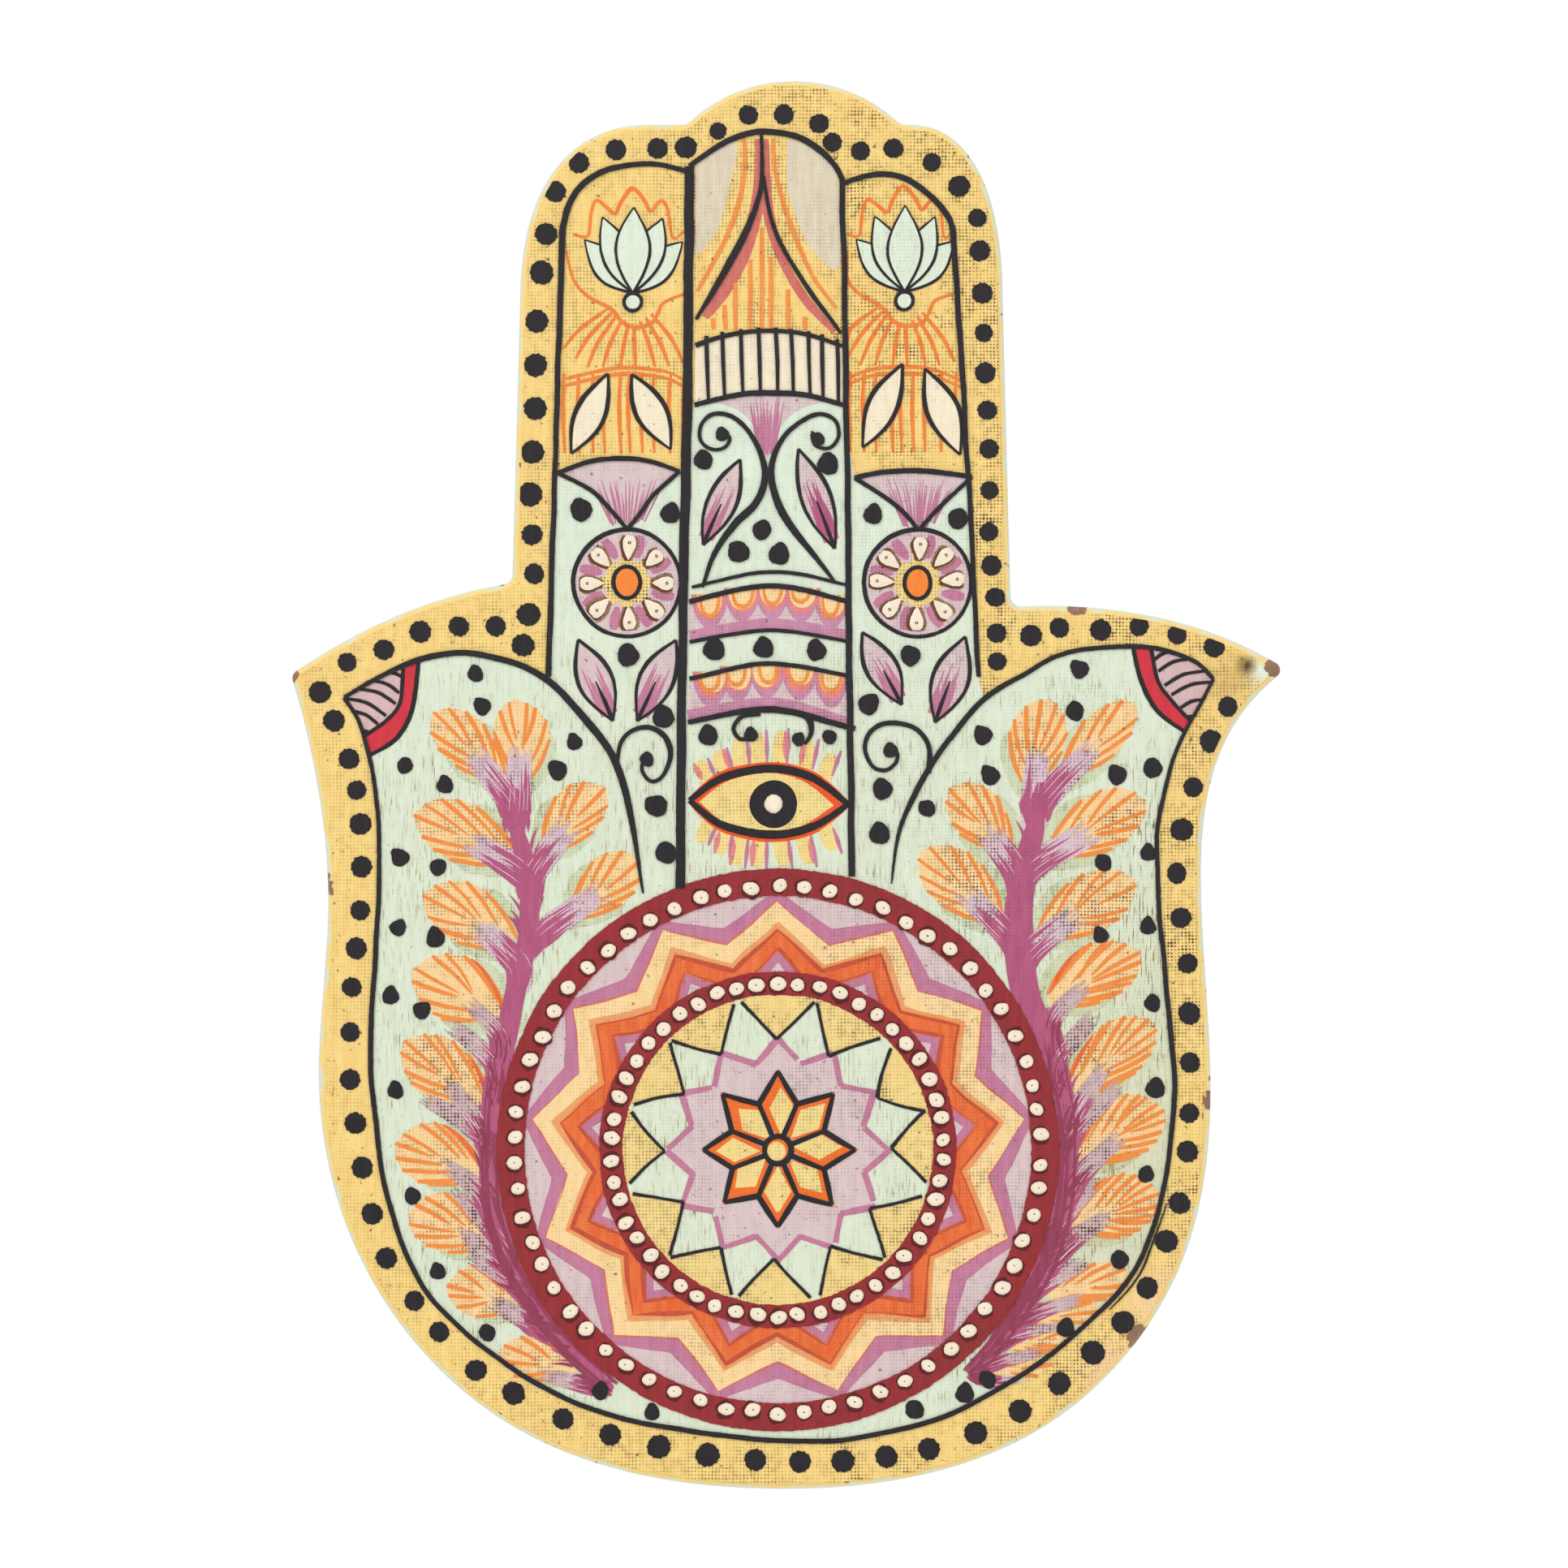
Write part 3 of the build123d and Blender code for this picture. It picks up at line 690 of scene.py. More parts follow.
# Flower discs and lilac leaves
# On each side finger a lilac disc with a gold heart and magenta dabs, ringed in black, with an orange
# oval in its middle. Lilac leaves with a magenta streak grow below it and beside the scrolls above.
DISC_RADIUS = 11.4
DISC_PETALS = 8
HEART_REACH = 4.6
DAB_SPAN = (5.6, 10.4)
DAB_SWING = 0.1
OVAL = (2.8, 3.4)
OVAL_SHIFT = (0.5, -0.2)
lilac_leaves = [((-39.7, -79), (-32.3, -96.4), 7.2), ((-19, -79.2), (-27.2, -96.4), 7.2),
                ((20.7, -77.6), (29.3, -93), 6.6), ((42.8, -78.4), (36.2, -96.8), 7.4),
                ((-5.2, -40.7), (-13.1, -59), 6.2), ((7.1, -38.5), (14.9, -59.8), 6.4)]
flower_centres = []
for node in ("left_flower_drops", "right_flower_drops"):
    low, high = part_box(node)
    flower_centres.append(((low.x + high.x) / 2 / MM, (low.z + high.z) / 2 / MM))
# Strong orange and plum accents, a lemon yellow, and a gold browned by the grime round the drops.
orange = paint("orange paint on cotton", "F28A3A", "EE7F35", grime=0.25)
plum = paint("plum paint on cotton", "B55C7F", "A54D72", grime=0.3)
yellow = paint("yellow paint on cotton", "EFD78E", "EBCB80", grime=0.6)
heart_gold = paint("flower gold paint on cotton", "EFD58A", "E6C67A", grime=1.2, left_share=0.9)


def beside(line, shift):
    """The same line moved sideways."""
    moved = []
    for k, point in enumerate(line):
        ahead = line[min(k + 1, len(line) - 1)] - line[max(k - 1, 0)]
        moved.append(point + Vector((-ahead.y, ahead.x)).normalized() * shift)
    return moved


def bundle(line, half_width, count, shortest, longest, widths, rng, late=0):
    """Hairs side by side along a line, each begun and let go at its own place."""
    hairs = []
    for i in range(count):
        share = 2 * (i + rng.random()) / count - 1
        start = rng.randint(0, late)
        stop = max(start + 3, round(len(line) * rng.uniform(shortest, longest)))
        hair = beside(line, share * half_width)[start:stop]
        if len(hair) > 2:
            hairs.append((hair, widths))
    return hairs


rng = random.Random(23)
disc_film, heart_film, dab_film, streak_film, oval_film, ring_film = (bmesh.new() for i in range(6))
for x, z in flower_centres:
    lay(disc_film, [circle((x, z), DISC_RADIUS)], 2)
    rays = [math.tau * i / 64 for i in range(64)]
    reaches = [HEART_REACH * (1 + ((1 + math.cos(DISC_PETALS * a)) / 2) ** 2) for a in rays]
    heart = [(x + reach * math.cos(a), z + reach * math.sin(a)) for a, reach in zip(rays, reaches)]
    lay(heart_film, [heart], 3)
    for i in range(DISC_PETALS):
        a = math.tau * (i + 0.5) / DISC_PETALS
        start = Vector((x, z)) + Vector((math.cos(a), math.sin(a))) * DAB_SPAN[0]
        end = Vector((x, z)) + Vector((math.cos(a + DAB_SWING), math.sin(a + DAB_SWING))) * DAB_SPAN[1]
        draw(dab_film, [([start.lerp(end, t / 4) for t in range(5)], [1.0, 2.6, 2.8, 1.6])], 4, crown=0.02)
    oval = [(x + OVAL[0] * math.cos(a), z + OVAL[1] * math.sin(a)) for a in rays]
    lay(oval_film, [[(a + OVAL_SHIFT[0], b + OVAL_SHIFT[1]) for a, b in oval]], 6)
    draw(ring_film, [(closed(oval), [1.0, 1.0]),
                     (closed(circle((x, z), DISC_RADIUS)), [0.9, 1.2, 1.0, 0.9])], 8)
lay(disc_film, [blade_outline(base, tip, width, pointed) for base, tip, width in lilac_leaves], 2)
for base, tip, width in lilac_leaves:
    low = Vector(tip)
    high = Vector(base)
    rib = [low.lerp(high, 0.08 + t / 10) for t in range(8)]
    draw(dab_film, bundle(rib, width * 0.25, 9, 0.4, 0.95, [0.5, 0.8, 0.5, 0.08], rng), 3, crown=0.03,
         sides=0)
    edges = blade(base, tip, width, pointed)
    draw(ring_film, [(edge, [0.7, 1.1, 0.8, 0.6]) for edge in edges], 8)
    draw(ring_film, [([low, low.lerp(high, 0.24), low.lerp(high, 0.48)], [1.0, 0.9, 0.3])], 8)
for base, tip, width in cream_leaves:
    edges = blade(base, tip, width, pointed)
    draw(ring_film, [(edge, [0.7, 1.2, 1.0, 0.6]) for edge in edges], 12)
painted("flower_discs_and_leaves", disc_film, [lilac])
painted("flower_hearts", heart_film, [heart_gold])
base, tip, width = lilac_leaves[-1]
streak = [Vector(tip).lerp(Vector(base), 0.14 + t / 13) for t in range(8)]
draw(streak_film, bundle(streak, width * 0.24, 9, 0.6, 1.0, [0.4, 0.9, 0.7, 0.1], rng), 5, crown=0.03,
     sides=0)
painted("magenta_dabs", dab_film, [magenta])
painted("leaf_plum_streak", streak_film, [plum])
painted("flower_ovals", oval_film, [orange])
painted("flower_and_leaf_lines", ring_film, [black])


# Eye
# An orange red almond with a smaller yellow one in it, lined in black, with a black iris round the raised
# pupil. Yellow dabs stand round it like lashes, some patched with pink, with thin magenta strokes between.
EYE_LINE = 1.9
EYE_YELLOW = (0.85, 0.9)
YELLOW_SHIFT = (-0.5, -0.25)
EYE_MIDDLE = (0.8, -113.5)
LASH_MIDDLE = (0.8, -113.4)
IRIS_RADIUS = 5.15
eye_low, eye_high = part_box("eye_drop")
pupil_centre = ((eye_low.x + eye_high.x) / 2 / MM, (eye_low.z + eye_high.z) / 2 / MM)
eye_top = [(-16, -113.2), (-9, -108.6), (1, -106.4), (10, -108.4), (17.6, -114)]
upper_lashes = [(-13.6, -105), (-9.6, -102.8), (-5.7, -100.3), (-1.4, -98.9), (3.6, -98.6), (9.7, -100.8),
                (14.6, -103.4)]
lower_lashes = [(-13.5, -122.2), (-9.7, -124.8), (-6, -127.2), (-1.4, -127.4), (3.6, -127.4), (9.3, -126.8),
                (14.9, -124)]
eye_foot = [(-16, -113.2), (-9, -118.6), (1, -120.6), (10, -119), (17.6, -114)]
# Two burning reds, one leaning to orange.
orange_red = paint("orange red paint on cotton", "E0602F", "E87C45", grime=0.4)
eye_orange = paint("eye orange paint on cotton", "EA5827", "E04C22", grime=0.3)
lash_film, patch_film, thin_film, edge_film, white_film, iris_film = (bmesh.new() for i in range(6))
rng = random.Random(31)
for lashes in (upper_lashes, lower_lashes):
    for k, (x, z) in enumerate(lashes):
        outer = Vector((x + rng.uniform(-0.4, 0.4), z))
        inner = Vector((LASH_MIDDLE[0] + (x - LASH_MIDDLE[0]) * 0.82,
                        LASH_MIDDLE[1] + (z - LASH_MIDDLE[1]) * 0.35))
        lash = [inner.lerp(outer, t / 5) for t in range(6)]
        draw(lash_film, [(lash, [3.2, 3.8, 4.0, 4.1, 3.9, 3.4, 1.6])], 2, crown=0.02)
        if rng.random() < 0.5:
            patch = beside(lash[2:], rng.choice((-1.2, 1.2)))
            draw(patch_film, [(patch, [0.5, 1.5, 1.3, 0.5])], 4.4, crown=0.02)
        start = outer + Vector((1.9, 0.6 if lashes is upper_lashes else -0.6))
        end = start.lerp(inner + Vector((1.5, 0)), 0.75)
        draw(thin_film, [([start, start.lerp(end, 0.5), end], [0.5, 1.1, 0.4])], 4.6, crown=0.02)
almond = through(eye_top) + through(eye_foot[::-1])[1:-1]
lay(edge_film, [almond], 6.2)
draw(edge_film, [(through(eye_top), [1.2, 3.3, 3.2, 3.0, 1.2]),
                 (through(eye_foot), [1.2, 3.3, 3.6, 3.4, 1.2])], 5.4, crown=0.01)
eye_yellow = []
for x, z in almond:
    eye_yellow.append((EYE_MIDDLE[0] + (x - EYE_MIDDLE[0]) * EYE_YELLOW[0] + YELLOW_SHIFT[0],
                       EYE_MIDDLE[1] + (z - EYE_MIDDLE[1]) * EYE_YELLOW[1] + YELLOW_SHIFT[1]))
lay(white_film, [eye_yellow], 7)
draw(iris_film, [(through(line), [1.3, EYE_LINE, 2.1, EYE_LINE, 1.3]) for line in (eye_top, eye_foot)], 9,
     crown=0.03)
lay(iris_film, [circle(pupil_centre, IRIS_RADIUS)], 9)
painted("eye_lashes", lash_film, [yellow])
painted("eye_lash_patches", patch_film, [scallop_rose])
painted("eye_lash_strokes", thin_film, [magenta])
painted("eye_ground", white_film, [yellow])
painted("eye_edges", edge_film, [eye_orange])
painted("eye_lines", iris_film, [black])


# Medallion
# A lilac round with a thirteen-point star of bands: magenta, peach, light orange, orange red, rose,
# magenta and lilac, one inside the other. A maroon ring closes it, and a smaller one holds a mint round.
MEDALLION_RADIUS = 56
STAR_POINTS = 13
STAR_STEPS = 8
EDGE_POOLS = 40
STAR_BANDS = [("magenta", 55.0, 48.6), ("peach", 52.8, 45.0), ("light_orange", 48.2, 40.4),
              ("orange_red", 46.8, 39.2), ("rose", 42.8, 35.0), ("inner_magenta", 42.0, 34.2),
              ("inner_lilac", 39.8, 32.2)]
OUTER_RING = (59.8, 53.9)
INNER_RING = (38.0, 33.0)
ring_low, ring_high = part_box("outer_ring_drops")
medallion = ((ring_low.x + ring_high.x) / 2 / MM, (ring_low.z + ring_high.z) / 2 / MM)


def star(count, tip, valley, turn=90):
    """A star's outline round the medallion's centre, with points along its edges so that they can waver."""
    corners = []
    for i in range(2 * count + 1):
        a = math.radians(turn + 180 * i / count)
        radius = valley if i % 2 else tip
        corners.append(Vector((medallion[0] + radius * math.cos(a), medallion[1] + radius * math.sin(a))))
    outline = []
    for start, end in zip(corners, corners[1:]):
        outline += [start.lerp(end, t / STAR_STEPS) for t in range(STAR_STEPS)]
    return outline


# Oranges from pale to red that step inward like heat, pools where the brush stopped, and a dark maroon.
light_orange = paint("light orange paint on cotton", "F08C45", "EE9A58", grime=0.35)
pale_orange = paint("pale orange paint on cotton", "E8A26C", "DF9862", grime=0.4)
pooled_red = paint("pooled red paint on cotton", "C4563C", "B84A34", grime=0.4)
maroon = paint("maroon paint on cotton", "982F33", "86272C", grime=0.5)
band_paints = {"magenta": magenta, "peach": peach, "light_orange": light_orange, "orange_red": orange_red,
               "rose": rose, "inner_magenta": magenta, "inner_lilac": lilac}
flat_coat("medallion_ground", [circle(medallion, MEDALLION_RADIUS)], 2, lilac)
for i, (band_name, tip, valley) in enumerate(STAR_BANDS):
    flat_coat("star_" + band_name, [star(STAR_POINTS, tip, valley)], 3 + i, band_paints[band_name],
              sway=0.5)
pool_rng = random.Random(17)
for name, band, width, pool in (("star_peach_edge", 1, 0.5, rose), ("star_light_edge", 2, 1.2, pale_orange),
                                ("star_orange_edge", 3, 1.1, pooled_red),
                                ("star_rose_edge", 4, 1.0, pooled_red)):
    film = bmesh.new()
    rim = closed(star(STAR_POINTS, STAR_BANDS[band][1], STAR_BANDS[band][2]))
    draw(film, [(rim, [width * pool_rng.uniform(0.1, 1.3) for i in range(EDGE_POOLS)])], 3.2 + band,
         crown=0.02)
    painted(name, film, [pool], sway=0.5)
flat_coat("medallion_mint", [circle(medallion, INNER_RING[1] + 1)], 11, mint)
film = bmesh.new()
for outer, inner in (OUTER_RING, INNER_RING):
    lay(film, [circle(medallion, outer, 0.4), circle(medallion, inner, 0.4)], 17)
painted("maroon_rings", film, [maroon], ragged=0.22)


# Heart of the medallion
# Twelve gold triangles hang inward from the small ring, lined in thin black. Inside them lies a lilac
# star of twelve points edged in magenta, and a yellow flower of eight petals outlined in black.
TRIANGLES = 12
TRIANGLE_APEX = 23.4
TRIANGLE_FOOT = INNER_RING[1] + 0.6
TRIANGLE_HALF_TURN = 15
HEART_STAR = (25.3, 19.7)
HEART_EDGE = 1.5
FLOWER_PETALS = 8
PETAL_TURN = 360 / FLOWER_PETALS
FLOWER_TIP = 16.3
FLOWER_VALLEY = 10.6
FLOWER_EYE = 2.9
FLOWER_LINE = 1.35


def spoke(turn, radius):
    """A point of the medallion at a turn (degrees) and a distance from its centre."""
    a = math.radians(turn)
    return Vector((medallion[0] + radius * math.cos(a), medallion[1] + radius * math.sin(a)))


# A gold with more brown in its weave, and a hot orange at the petals' rims.
triangle_gold = paint("triangle gold paint on cotton", "F0D58C", "E9C97C", grime=0.95)
flower_orange = paint("flower orange paint on cotton", "EC7228", "E5662A", grime=0.2)

rng = random.Random(12)
gold_film, line_film = bmesh.new(), bmesh.new()
for i in range(TRIANGLES):
    turn = 90 + 360 * i / TRIANGLES + rng.uniform(-1.5, 1.5)
    apex = spoke(turn + rng.uniform(-2, 2), TRIANGLE_APEX + rng.uniform(-0.8, 0.8))
    foot = [spoke(turn + TRIANGLE_HALF_TURN * s, TRIANGLE_FOOT) for s in (-1, 1)]
    lay(gold_film, [[apex, foot[0].lerp(apex, 0.5), foot[0], spoke(turn, TRIANGLE_FOOT), foot[1],
                     foot[1].lerp(apex, 0.5)]], 12 + LAP * (i % 2))
    for corner in foot:
        near = corner.lerp(apex, 0.12)
        bowed = near.lerp(apex, 0.5) + Vector((rng.uniform(-0.4, 0.4), rng.uniform(-0.4, 0.4)))
        draw(line_film, [(through([near, bowed, apex]), [0.9, 0.75, rng.uniform(0.6, 1.1)])], 20)
painted("medallion_gold_triangles", gold_film, [triangle_gold])
heart_outline = star(TRIANGLES, HEART_STAR[0] - HEART_EDGE, HEART_STAR[1] - HEART_EDGE / 2)
flat_coat("heart_star", [heart_outline], 13, lilac)
film = bmesh.new()
for first in range(0, len(heart_outline), STAR_STEPS):
    edge = closed(heart_outline)[first:first + STAR_STEPS + 1]
    if rng.random() < 0.25:
        edge = edge[1:]
    nudge = Vector((rng.uniform(-0.25, 0.25), rng.uniform(-0.25, 0.25)))
    widths = [HEART_EDGE * rng.uniform(0.75, 1.15) for i in range(3)]
    draw(film, [([point + nudge for point in edge], widths)], 14 + LAP * (first // STAR_STEPS % 2),
         crown=0.02)
painted("heart_star_edge", film, [magenta])
edge_film, petal_film = bmesh.new(), bmesh.new()
valleys = [spoke(90 + PETAL_TURN * (i + 0.5), FLOWER_VALLEY) for i in range(FLOWER_PETALS)]
for i in range(FLOWER_PETALS):
    turn = 90 + PETAL_TURN * i
    tip = spoke(turn, FLOWER_TIP * rng.uniform(0.97, 1.03))
    corners = [spoke(turn, FLOWER_EYE), valleys[i - 1], tip, valleys[i]]
    middle = spoke(turn, FLOWER_VALLEY * 0.7)
    nudge = Vector((rng.uniform(-0.7, 0.9), rng.uniform(-0.5, 0.8)))
    keeps = [0.9] + [rng.uniform(0.58, 0.76) for corner in corners[1:]]
    lay(edge_film, [[middle + (corner - middle) * 1.07 for corner in corners]], 15 + LAP * (i % 2))
    lay(petal_film, [[middle + (corner - middle) * keep + nudge for corner, keep in zip(corners, keeps)]],
        16.4)
    draw(line_film, [([valleys[i - 1], valleys[i - 1].lerp(tip, 0.5), tip],
                      [FLOWER_LINE, FLOWER_LINE, 1.0]),
                     ([tip, valleys[i].lerp(tip, 0.5), valleys[i]], [1.0, FLOWER_LINE, FLOWER_LINE]),
                     ([spoke(turn + PETAL_TURN / 2, FLOWER_EYE), valleys[i]], [FLOWER_LINE, 1.1])], 20)
lay(edge_film, [circle(medallion, FLOWER_EYE)], 16.4)
lay(petal_film, [circle((medallion[0] - 0.3, medallion[1] - 0.3), FLOWER_EYE * 0.7)], 17)
draw(line_film, [(closed(circle(medallion, FLOWER_EYE)), [1.5, 1.2, 1.5])], 20)
painted("heart_flower_edge", edge_film, [flower_orange])
painted("heart_flower", petal_film, [yellow])
painted("medallion_lines", line_film, [black])


# Feather sprays
# A plum stem climbs each side of the medallion. Brush sweeps leave it and fade from plum to a lilac
# tongue, and most of them end in a peach lobe ruled with orange strokes.
LOBE_UPPER = 1.17
LOBE_LOWER = 0.93
LOW_LOBES_FROM = -150
RAY_PITCH = 1.28
LOW_RIGHT_PITCH = 0.85
RAY_REACH = 0.46
RAY_WIDTHS = (0.25, 0.68, 0.85, 0.9, 0.7)
EMBER_WIDTHS = (0.3, 1.0, 0.9, 0.3)
HAIR_WIDTHS = (0.75, 0.65, 0.4, 0.06)
SWEEP_HALF = 2.6
LOW_SWEEP_SHARE = 0.64
LEFT_STEM_WIDTHS = (1.5, 4.2, 4.8, 4.8, 5.0, 5.4, 5.4, 5.4, 5.4, 5.4, 5.2, 4.2, 1)
RIGHT_STEM_WIDTHS = (1.5, 5, 6.5, 7.4, 7.0, 6.2, 5.6, 5.6, 5.8, 6.0, 6.0, 4.6, 1)
left_stem = [(-54.4, -110.5), (-52.7, -120), (-50.4, -128), (-50.1, -136), (-50.4, -143), (-52.6, -152),
             (-54.5, -161), (-57.2, -172), (-58.2, -186), (-58.2, -198), (-56.2, -207), (-52.4, -215.5),
             (-47.2, -223.5), (-40.6, -231), (-32.4, -238.5)]
right_stem = [(58.6, -109.5), (57.6, -118), (55.2, -128), (54, -137), (54.2, -146), (56, -156),
              (60.5, -165), (63.2, -175), (64.2, -187), (63.4, -200), (61, -209), (58, -215.5),
              (53.4, -222.4), (48.4, -229.4), (43.4, -235.4)]
left_lobes = [((-55.5, -109.5), (-70.8, -94.8), 10), ((-51.6, -110), (-53, -91.8), 11.3),
              ((-52.7, -126.3), (-74.6, -116), 12), ((-46.6, -124), (-34.2, -110.2), 10.5),
              ((-40.5, -138), (-26.6, -125.6), 10.5), ((-52.7, -144.5), (-72.6, -133), 12),
              ((-55, -160), (-74.8, -149.2), 13.4), ((-58.7, -180), (-77, -164.6), 12.4),
              ((-59.9, -192.8), (-78.8, -186.6), 12.6), ((-57, -207), (-76, -201.4), 11.8),
              ((-52, -220.4), (-67.6, -216.6), 10.4), ((-40, -234.5), (-57, -231), 8.8)]
right_lobes = [((56.1, -110.5), (60.8, -91.8), 11.5), ((63, -109.5), (79, -92.6), 9.2),
               ((60.1, -125), (81.2, -113.2), 11.8), ((52, -125), (39.4, -110.4), 10.7),
               ((50.2, -139.6), (33.2, -124.2), 12), ((58, -142.5), (78.8, -130.4), 11.8),
               ((60.1, -156.4), (79.8, -146), 11.8), ((64.4, -176.4), (83, -160.6), 11.6),
               ((66.4, -189.4), (85, -179), 12.6), ((64.5, -204.4), (84, -197), 12.6),
               ((59.5, -218.8), (78.2, -214.4), 7.6), ((54.4, -224), (72.5, -221.8), 5),
               ((51.4, -229.6), (65.6, -227.6), 5.6), ((47, -235), (61, -233.4), 5)]
left_sweeps = [((-57.7, -168), (-67.6, -160.2)), ((-58, -185), (-72.7, -176.2)),
               ((-56, -207), (-65.6, -195.4)), ((-53, -216), (-63.9, -209.5))]
right_sweeps = [((61.8, -168), (70.4, -158.6)), ((63.8, -185), (76.1, -173.4)),
                ((61, -204), (71.4, -193.4)), ((58.5, -216), (69, -210.8))]
# Plum and lilac that fade into each other, lobes like pale peach, and the mint darker and more olive round
# them.
low_lilac = paint("dirty lilac paint on cotton", "D0B6B5", "C3A3A4", grime=1.5, left_share=0.75)
tongue_lilac = paint("tongue lilac paint on cotton", "D9C2C8", "D0B2C0", grime=1.1, left_share=0.7)
deep_plum = paint("deep plum paint on cotton", "96405A", "88364E", grime=0.3)
pale_hair = paint("pale pink paint on cotton", "E6C9D3", "DDB6C6", grime=0.2)
ray_orange = paint("ray orange paint on cotton", "EA883C", "EC944A", grime=0.35)
lobe_peach = paint("lobe peach paint on cotton", "F6D29B", "EFC68A", grime=0.9, left_share=0.9)
olive_mint = paint("olive mint paint on cotton", "D3DCBE", "C6D0AA", grime=0.5, streaks=0.8,
                     left_share=0.9)
yellowed(olive_mint)


def lobe_edges(base, tip, width):
    """The upper and the lower edge of a lobe from its base to its tip, the upper one fuller."""
    upper = 0 if tip.x > base.x else 1
    return (blade(base, tip, width * LOBE_UPPER, rounded)[upper],
            blade(base, tip, width * LOBE_LOWER, rounded)[1 - upper])


def lobe_rays(base, tip, width, pitch, rng):
    """Orange strokes of a lobe, from beside its tongue out to its rim."""
    upper, lower = lobe_edges(base, tip, width)
    rim = through(upper[4:] + lower[-2:5:-1], 0.5)
    axis = tip - base
    count = round(width / pitch)
    rays = []
    for k in range(count):
        end = rim[round((k + rng.uniform(0.3, 0.7)) / count * (len(rim) - 1))]
        share = (end - base).dot(axis) / axis.length_squared
        aside = end - base.lerp(tip, share)
        foot = base.lerp(tip, max(0.04, share - RAY_REACH * rng.uniform(0.8, 1.2))) + aside * 0.28
        bend = foot.lerp(end, 0.5) + aside * 0.07
        heavy = rng.uniform(0.8, 1.15)
        rays.append((through([foot, bend, end], 1.5), [w * heavy for w in RAY_WIDTHS]))
    return rays


def fur(stem, share_from, share_to, outward, reach, count, rng):
    """Hair strokes that leave a stretch of the stem upward and outward."""
    hairs = []
    for i in range(count):
        share = share_from + (share_to - share_from) * (i + rng.random()) / count
        j = min(max(1, round(share * len(stem))), len(stem) - 2)
        ahead = (stem[j - 1] - stem[j + 1]).normalized()
        aside = Vector((-ahead.y, ahead.x)) * outward
        start = stem[j] + aside * rng.uniform(-1.5, 2)
        lean = math.radians(rng.uniform(18, 42))
        end = start + (ahead * math.cos(lean) + aside * math.sin(lean)) * reach * rng.uniform(0.45, 1)
        bow = start.lerp(end, 0.5) + ahead * 0.4
        hairs.append((through([start, bow, end], 2), HAIR_WIDTHS))
    return hairs


